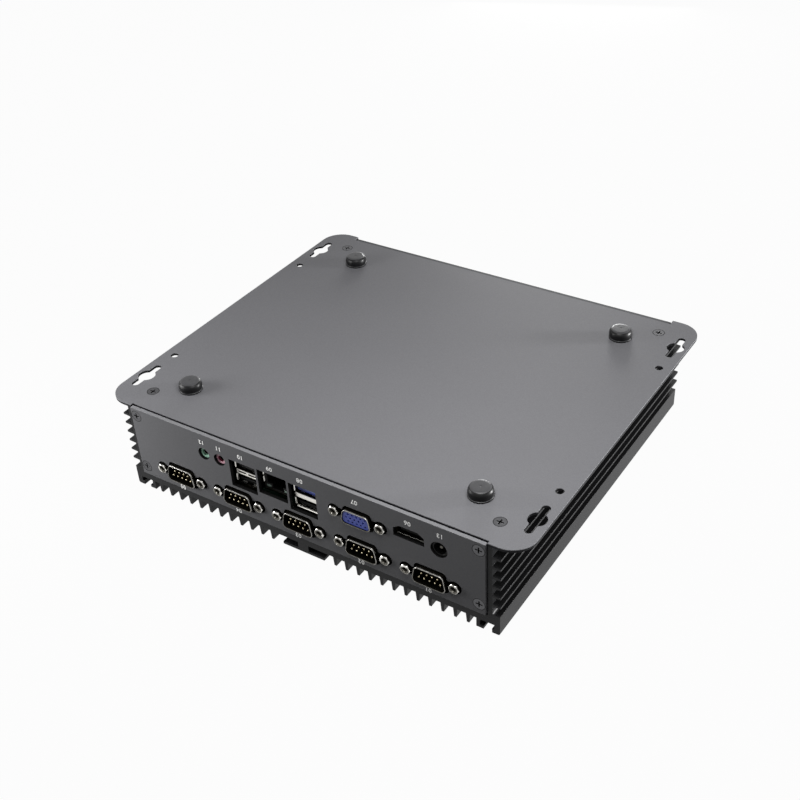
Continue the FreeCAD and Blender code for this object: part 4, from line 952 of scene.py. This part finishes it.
def usb_tongue(name, node, x, front, level, inward, material, highlight_material=None):
    """A tongue with its back wall and contacts, its front edge rounded and perhaps with a painted highlight
    on its upper rounding.
    """
    height = level - TONGUE_DROP * MM
    near, far = reach(front, inward, TONGUE_DEPTHS)
    tongue = start_box(
        name, (x - TONGUE_HALF_WIDTH * MM, near, height - TONGUE_HALF_HEIGHT * MM),
        (x + TONGUE_HALF_WIDTH * MM, far, height + TONGUE_HALF_HEIGHT * MM),
    )
    round_edges(tongue, TONGUE_EASE * MM, 3)
    near, far = reach(front, inward, BACK_DEPTHS)
    wall = start_box(
        name + "_back", (x - BACK_HALF_WIDTH * MM, near, level - BACK_HALF_HEIGHT * MM),
        (x + BACK_HALF_WIDTH * MM, far, level + BACK_HALF_HEIGHT * MM),
    )
    tongue = gathered([tongue, wall], name)
    smooth(tongue)
    dress(tongue, material)
    # A painted highlight on the upper front rounding
    if highlight_material:
        part_finish(tongue, highlight_material, lambda face: inward * face.normal.y < -0.3 and face.normal.z > 0.1)
    seat(tongue, node)
    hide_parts(node)
    usb_contacts(name, node, x, front, height, inward)


def usb_stack(shell, tongues, inward, slotted, colours):
    """A double socket: its box, its bent sheet parts, and an upper and a lower tongue."""
    low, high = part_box(shell)
    middle = (low + high) / 2
    front = low.y if inward > 0 else high.y
    centre = middle.z - MOUTH_DROP * MM
    usb_box(shell, middle, front, centre, inward)
    usb_sheet(shell, middle.x, front, centre, inward, slotted)
    for side, label, colour in ((1, "upper", colours[0]), (-1, "lower", colours[1])):
        level = centre + side * MOUTH_HALF_PITCH * MM
        # Blue tongues get a painted highlight on their front edge
        edge = LIT_EDGE_BLUE if colour == "blue_plastic" else None
        name = "%s_%s" % (tongues, label)
        usb_tongue(name, tongues, middle.x, front, level, inward, FINISHES[colour], edge)


usb_stack("usb_shell_1", "usb_tongues_1", 1, True, ("black_plastic", "black_plastic"))
usb_stack("usb_shell_2", "usb_tongues_2", 1, False, ("blue_plastic", "black_plastic"))
usb_stack("front_usb_shell", "front_usb_tongues", -1, True, ("black_plastic", "black_plastic"))


# Network socket. Drops count from the top of its port.

SHIELD_EASE = 0.12
SHIELD_SHEET = 0.2
LAN_INSERT_EASE = 0.2
LAN_LIP_WIDTH = 3.0
LAN_LIP_DROPS = (1.8, 6.0)
WINDOW_SIDES = (-6.6, -3.9)
WINDOW_DROPS = (10.2, 8.8)
WINDOW_PITCH = 10.3
WINDOW_EASE = 0.25
WIRE_PATH = [(3.6, -0.1), (4.6, -0.12), (5.6, -0.5), (9.0, -1.9), (12.0, -2.1), (12.9, -2.0)]
WIRE_WIDTH = 0.45
WIRE_SHEET = 0.3
WIRE_PITCH = 1.02
WIRE_COUNT = 8


def lan_lips(low, high, port_top):
    """Two flared lips on each side of the shield's mouth."""
    pieces = []
    for wall, x in ((LEFT, low.x + SHIELD_SHEET * MM), (RIGHT, high.x - SHIELD_SHEET * MM)):
        for drop in LAN_LIP_DROPS:
            place = (x, low.y, port_top - drop * MM)
            pieces.append(edge_strip(LIP_PATH, LAN_LIP_WIDTH, LIP_SHEET, wall, place))
    sheet = gathered(pieces, "lan_shield_lips")
    smooth(sheet, ROUND_ANGLE)
    dress(sheet, FINISHES["tin_plate"])
    seat(sheet, "lan_jack_shield")


def lan_windows(middle, front, port_top):
    """The two lamp windows under the port."""
    window = start_box(
        "lan_window", (middle.x + WINDOW_SIDES[0] * MM, front - 0.1 * MM, port_top - WINDOW_DROPS[0] * MM),
        (middle.x + WINDOW_SIDES[1] * MM, front + 1.0 * MM, port_top - WINDOW_DROPS[1] * MM),
    )
    round_edges(window, WINDOW_EASE * MM, 3)
    windows = copies(window, [(0, 0, 0), (WINDOW_PITCH * MM, 0, 0)], "lan_lamp_windows")
    smooth(windows)
    dress(windows, FINISHES["lamp"])
    seat(windows, "lan_jack_insert")


def lan_wires(middle, front, port_top):
    """The eight sprung wires of the port."""
    wire = put(bent_strip("wire", WIRE_PATH, WIRE_WIDTH, WIRE_SHEET), (middle.x, front, port_top))
    first = -(WIRE_COUNT - 1) / 2
    shifts = [(WIRE_PITCH * (first + number) * MM, 0, 0) for number in range(WIRE_COUNT)]
    wires = copies(wire, shifts, "lan_wires")
    smooth(wires, 50)
    stand_in(wires, "lan_contacts")


def lan_socket():
    """The shield, dark with painted shade, with its lips, the insert with its lamp windows, and the wires."""
    shield = eased_copy("lan_jack_shield", SHIELD_EASE * MM)
    # Painted shade on the shield
    dress(shield, DEEP_SHADE_METAL)
    eased_copy("lan_jack_insert", LAN_INSERT_EASE * MM)
    low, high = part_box("lan_jack_shield")
    middle = (low + high) / 2
    port_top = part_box("lan_contacts")[1].z
    lan_lips(low, high, port_top)
    lan_windows(middle, low.y, port_top)
    lan_wires(middle, low.y, port_top)


lan_socket()


# Digital video socket

VIDEO_EASE = 0.1
VIDEO_RIM_DEPTH = 0.12
VIDEO_RIM_HEIGHT = 0.9
VIDEO_TONGUE_TOP = -0.05
VIDEO_CONTACT_HALF_WIDTH = 0.22
VIDEO_CONTACT_DEPTHS = (0.1, 5.0)
VIDEO_CONTACT_LEVELS = (-0.1, 0.08)
VIDEO_CONTACT_STEPS = range(-4, 6)


def video_socket():
    """The chamfered sleeve, dark with painted shade but for its bright lower rim, and the tongue with its row
    of contacts.
    """
    sleeve = eased_copy("video_jack_shell", VIDEO_EASE * MM)
    # Painted shade on the sleeve, all but its lower front rim
    dress(sleeve, DEEP_SHADE_METAL)
    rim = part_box("video_jack_shell")[0] + Vector((0, VIDEO_RIM_DEPTH, VIDEO_RIM_HEIGHT)) * MM
    part_finish(sleeve, FINISHES["tin_plate"], lambda face: face.center.y < rim.y and face.center.z < rim.z)
    eased_copy("video_jack_tongue", VIDEO_EASE * MM)
    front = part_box("video_jack_tongue")[0].y
    middle = middle_of("video_jack_shell")
    top = middle.z + VIDEO_TONGUE_TOP * MM
    near, far = reach(front, 1, VIDEO_CONTACT_DEPTHS)
    contact = start_box(
        "contact", (middle.x - VIDEO_CONTACT_HALF_WIDTH * MM, near, top + VIDEO_CONTACT_LEVELS[0] * MM),
        (middle.x + VIDEO_CONTACT_HALF_WIDTH * MM, far, top + VIDEO_CONTACT_LEVELS[1] * MM),
    )
    round_edges(contact, CONTACT_EASE * MM)
    shifts = [((step - 0.5) * MM, 0, 0) for step in VIDEO_CONTACT_STEPS]
    contacts = copies(contact, shifts, "video_contacts")
    smooth(contacts)
    dress(contacts, FINISHES["gold_contact"])
    seat(contacts, "video_jack_tongue")


video_socket()


# Power inlet

INLET_EASE = 0.2
INLET_PIN = [(1.0, 0.0), (1.0, 12.2), (0.96, 12.5), (0.82, 12.8), (0.55, 12.95), (0.2, 13.0)]
INLET_NOSE = 0.3
INLET_SPRING_PATH = [(2.0, 0.0), (3.5, -0.5), (5.0, -0.7), (8.0, -0.1)]
INLET_SPRING_WIDTH = 1.6
INLET_SPRING_SHEET = 0.25
INLET_BORE = 3.05


def power_inlet():
    """The moulded barrel, a pin with a rounded nose, dimmed with painted shade and darker still behind the
    nose, and the spring at its side.
    """
    eased_copy("dc_jack_body", INLET_EASE * MM)
    low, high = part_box("dc_jack_pin")
    middle = (low + high) / 2
    stretch = (high.y - low.y) / MM / INLET_PIN[-1][1]
    outline = [(radius, level * stretch) for radius, level in INLET_PIN]
    pin = put(turned("dc_jack_pin_turned", outline, sides=32), (middle.x, high.y, middle.z), TO_REAR)
    smooth(pin, ROUND_ANGLE)
    stand_in(pin, "dc_jack_pin")
    # Painted shade on the pin, deeper behind its nose
    dress(pin, HALF_SHADE_METAL)
    part_finish(pin, DEEP_SHADE_METAL, lambda face: face.center.y > low.y + INLET_NOSE * MM)
    place = (middle.x + INLET_BORE * MM, low.y, middle.z)
    spring = edge_strip(INLET_SPRING_PATH, INLET_SPRING_WIDTH, INLET_SPRING_SHEET, RIGHT, place)
    spring.name = "dc_spring"
    smooth(spring, ROUND_ANGLE)
    dress(spring, FINISHES["nickel"])
    seat(spring, "dc_jack_body")


power_inlet()


# Sound sockets

SOUND_EASE = 0.25
SOUND_RIM = 0.2
CONTACT_RING = [(1.82, -3.0), (1.82, -1.2), (1.7, -1.1), (1.5, -1.2), (1.5, -2.8)]
SOUND_AXIS_DROP = 3.6


def sound_socket(node, rim=None):
    """A sound socket, perhaps with a paler rim of painted light, and the ring inside its bore, dark with
    painted shade.
    """
    socket = eased_copy(node, SOUND_EASE * MM, segments=3)
    low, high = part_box(node)
    if rim:
        # Painted light on the front rim
        part_finish(socket, rim, lambda face: face.center.y < low.y + SOUND_RIM * MM)
    place = ((low.x + high.x) / 2, low.y, high.z - SOUND_AXIS_DROP * MM)
    ring = put(turned(node + "_ring", CONTACT_RING, sides=32), place, TO_REAR)
    smooth(ring, ROUND_ANGLE)
    # Painted shade on the ring
    dress(ring, DEEP_SHADE_METAL)
    seat(ring, node)


sound_socket("audio_jack")
sound_socket("mic_jack", LIT_PINK_RIM)


# Switch and lamps of the front panel

SWITCH_EASE = 0.15

for name in ("power_switch_body", "power_button", "status_leds"):
    eased_copy(name, SWITCH_EASE * MM, segments=3)


# Plain numbers in place of the words at the sockets, turned over as the whole unit is

NUMBER_SIZE = 3.3
NUMBER_WEIGHT = 0.06
NUMBER_DEPTH = 0.02
NUMBER_LEVEL = 46.0
SERIAL_NUMBER_LEVEL = 11.0
SERIAL_NUMBER_SHIFT = -1.3
UPPER_NUMBERS = {
    "12": -54.9, "11": -44.5, "10": -31.2, "09": -14.0, "08": 3.5, "07": 33.6, "06": 61.5, "13": 77.9,
}


def number_print(text, x, z):
    """A number in white print on the rear panel."""
    bpy.ops.object.select_all(action="DESELECT")
    bpy.ops.object.text_add()
    piece = bpy.context.object
    letters = piece.data
    letters.body = text
    letters.size = NUMBER_SIZE * MM
    letters.offset = NUMBER_WEIGHT * MM
    letters.extrude = NUMBER_DEPTH * MM
    letters.space_character = 1.1
    letters.align_x = "CENTER"
    letters.align_y = "CENTER"
    only(piece)
    bpy.ops.object.convert(target="MESH")
    return put(bpy.context.object, (x * MM, REAR_LOW.y - NUMBER_DEPTH / 2 * MM, z * MM), (90, 180, 0))


def socket_numbers():
    """A number beside each socket."""
    pieces = [number_print(text, x, NUMBER_LEVEL) for text, x in UPPER_NUMBERS.items()]
    for number in range(1, 6):
        x = middle_of("com_shell_%d" % number).x / MM + SERIAL_NUMBER_SHIFT
        pieces.append(number_print("%02d" % number, x, SERIAL_NUMBER_LEVEL))
    prints = gathered(pieces, "socket_numbers")
    dress(prints, PRINT)
    seat(prints, "rear_panel")


socket_numbers()


# Floor, light and camera

FLOOR_SIZE = 8.0
FLOOR_GAP = 0.00005
FLOOR_PAINT = 0.15
FLOOR_WHITE = 0.97
WORLD_GREY = 0.8
WORLD_STRENGTH = 0.17
LAMP_TARGET = Vector((0, 0, 0.03))

# Place, width and power of each lamp
LAMPS = {
    "plate_softbox": ((0.10, -0.12, 0.27), 0.16, 0.74),
    "left_softbox": ((-0.24, -0.19, 0.09), 0.14, 0.84),
    "right_softbox": ((0.6, 0.36, 0.075), 0.14, 12.0),
    "far_softbox": ((-0.25, 0.7, 0.13), 0.25, 3.0),
}


def seen_rays(tree, share):
    """A share for rays that look at the background, straight or through gloss and glass, and 0 for light."""
    path = tree.nodes.new("ShaderNodeLightPath")
    total = path.outputs["Is Camera Ray"]
    for kind in ("Is Glossy Ray", "Is Transmission Ray"):
        add = tree.nodes.new("ShaderNodeMath")
        add.operation = "MAXIMUM"
        tree.links.new(total, add.inputs[0])
        tree.links.new(path.outputs[kind], add.inputs[1])
        total = add.outputs[0]
    scale = tree.nodes.new("ShaderNodeMath")
    scale.operation = "MULTIPLY"
    scale.inputs[1].default_value = share
    tree.links.new(total, scale.inputs[0])
    return scale.outputs[0]


def seen_or_lit(tree, share, lit, seen, output_kind):
    """Joins what lights the object and what is seen behind it to a tree's output."""
    mix = tree.nodes.new("ShaderNodeMixShader")
    tree.links.new(seen_rays(tree, share), mix.inputs[0])
    tree.links.new(lit.outputs[0], mix.inputs[1])
    tree.links.new(seen.outputs[0], mix.inputs[2])
    output = tree.nodes.new(output_kind)
    tree.links.new(mix.outputs[0], output.inputs["Surface"])


def stand():
    """A white floor that takes a trace of the object's shadow."""
    bpy.ops.mesh.primitive_plane_add(size=FLOOR_SIZE, location=(0, 0, cad_low.z - FLOOR_GAP))
    floor = bpy.context.object
    floor.name = "floor"
    material = bpy.data.materials.new("pale_floor")
    material.use_nodes = True
    tree = material.node_tree
    tree.nodes.clear()
    paint = tree.nodes.new("ShaderNodeBsdfDiffuse")
    paint.inputs["Color"].default_value = (FLOOR_PAINT, FLOOR_PAINT, FLOOR_PAINT, 1.0)
    glow = tree.nodes.new("ShaderNodeEmission")
    glow.inputs["Strength"].default_value = 1.0
    seen_or_lit(tree, FLOOR_WHITE, paint, glow, "ShaderNodeOutputMaterial")
    dress(floor, material)


def surroundings():
    """A plain world that looks white behind the object and lights it softly."""
    world = bpy.data.worlds.new("studio")
    world.use_nodes = True
    tree = world.node_tree
    tree.nodes.clear()
    soft = tree.nodes.new("ShaderNodeBackground")
    soft.inputs["Color"].default_value = (WORLD_GREY, WORLD_GREY, WORLD_GREY, 1.0)
    soft.inputs["Strength"].default_value = WORLD_STRENGTH
    white = tree.nodes.new("ShaderNodeBackground")
    white.inputs["Color"].default_value = (1.0, 1.0, 1.0, 1.0)
    white.inputs["Strength"].default_value = 1.0
    seen_or_lit(tree, 1.0, soft, white, "ShaderNodeOutputWorld")
    bpy.context.scene.world = world


def softbox(name, place, width, power):
    """A square lamp turned to the object."""
    lamp = bpy.data.lights.new(name, "AREA")
    lamp.shape = "SQUARE"
    lamp.size = width
    lamp.energy = power
    holder = bpy.data.objects.new(name, lamp)
    holder.location = place
    holder.rotation_mode = "QUATERNION"
    holder.rotation_quaternion = (LAMP_TARGET - Vector(place)).to_track_quat("-Z", "Y")
    holder.visible_camera = False
    bpy.context.scene.collection.objects.link(holder)


CAMERA_PLACE = Vector((0.278012, -0.412102, 0.381500))
CAMERA_RIGHT = Vector((0.8394141, 0.5414880, -0.0466327))
CAMERA_DOWN = Vector((0.2826228, -0.5081846, -0.8135556))
CAMERA_AHEAD = Vector((-0.4642287, 0.6697306, -0.5796142))
LENS_MM = 52.793
SENSOR_MM = 36.0


def photographer():
    """The camera at the photograph's place, with its lens."""
    lens = bpy.data.cameras.new("camera")
    lens.lens = LENS_MM
    lens.sensor_width = SENSOR_MM
    lens.clip_start = 0.01
    lens.clip_end = 50.0
    camera = bpy.data.objects.new("camera", lens)
    turn = Matrix((CAMERA_RIGHT, -CAMERA_DOWN, -CAMERA_AHEAD)).transposed().to_4x4()
    camera.matrix_world = Matrix.Translation(CAMERA_PLACE) @ turn
    bpy.context.scene.collection.objects.link(camera)
    bpy.context.scene.camera = camera


stand()
surroundings()
for name, (place, width, power) in LAMPS.items():
    softbox(name, place, width, power)
photographer()
bpy.context.scene.view_settings.view_transform = "Standard"
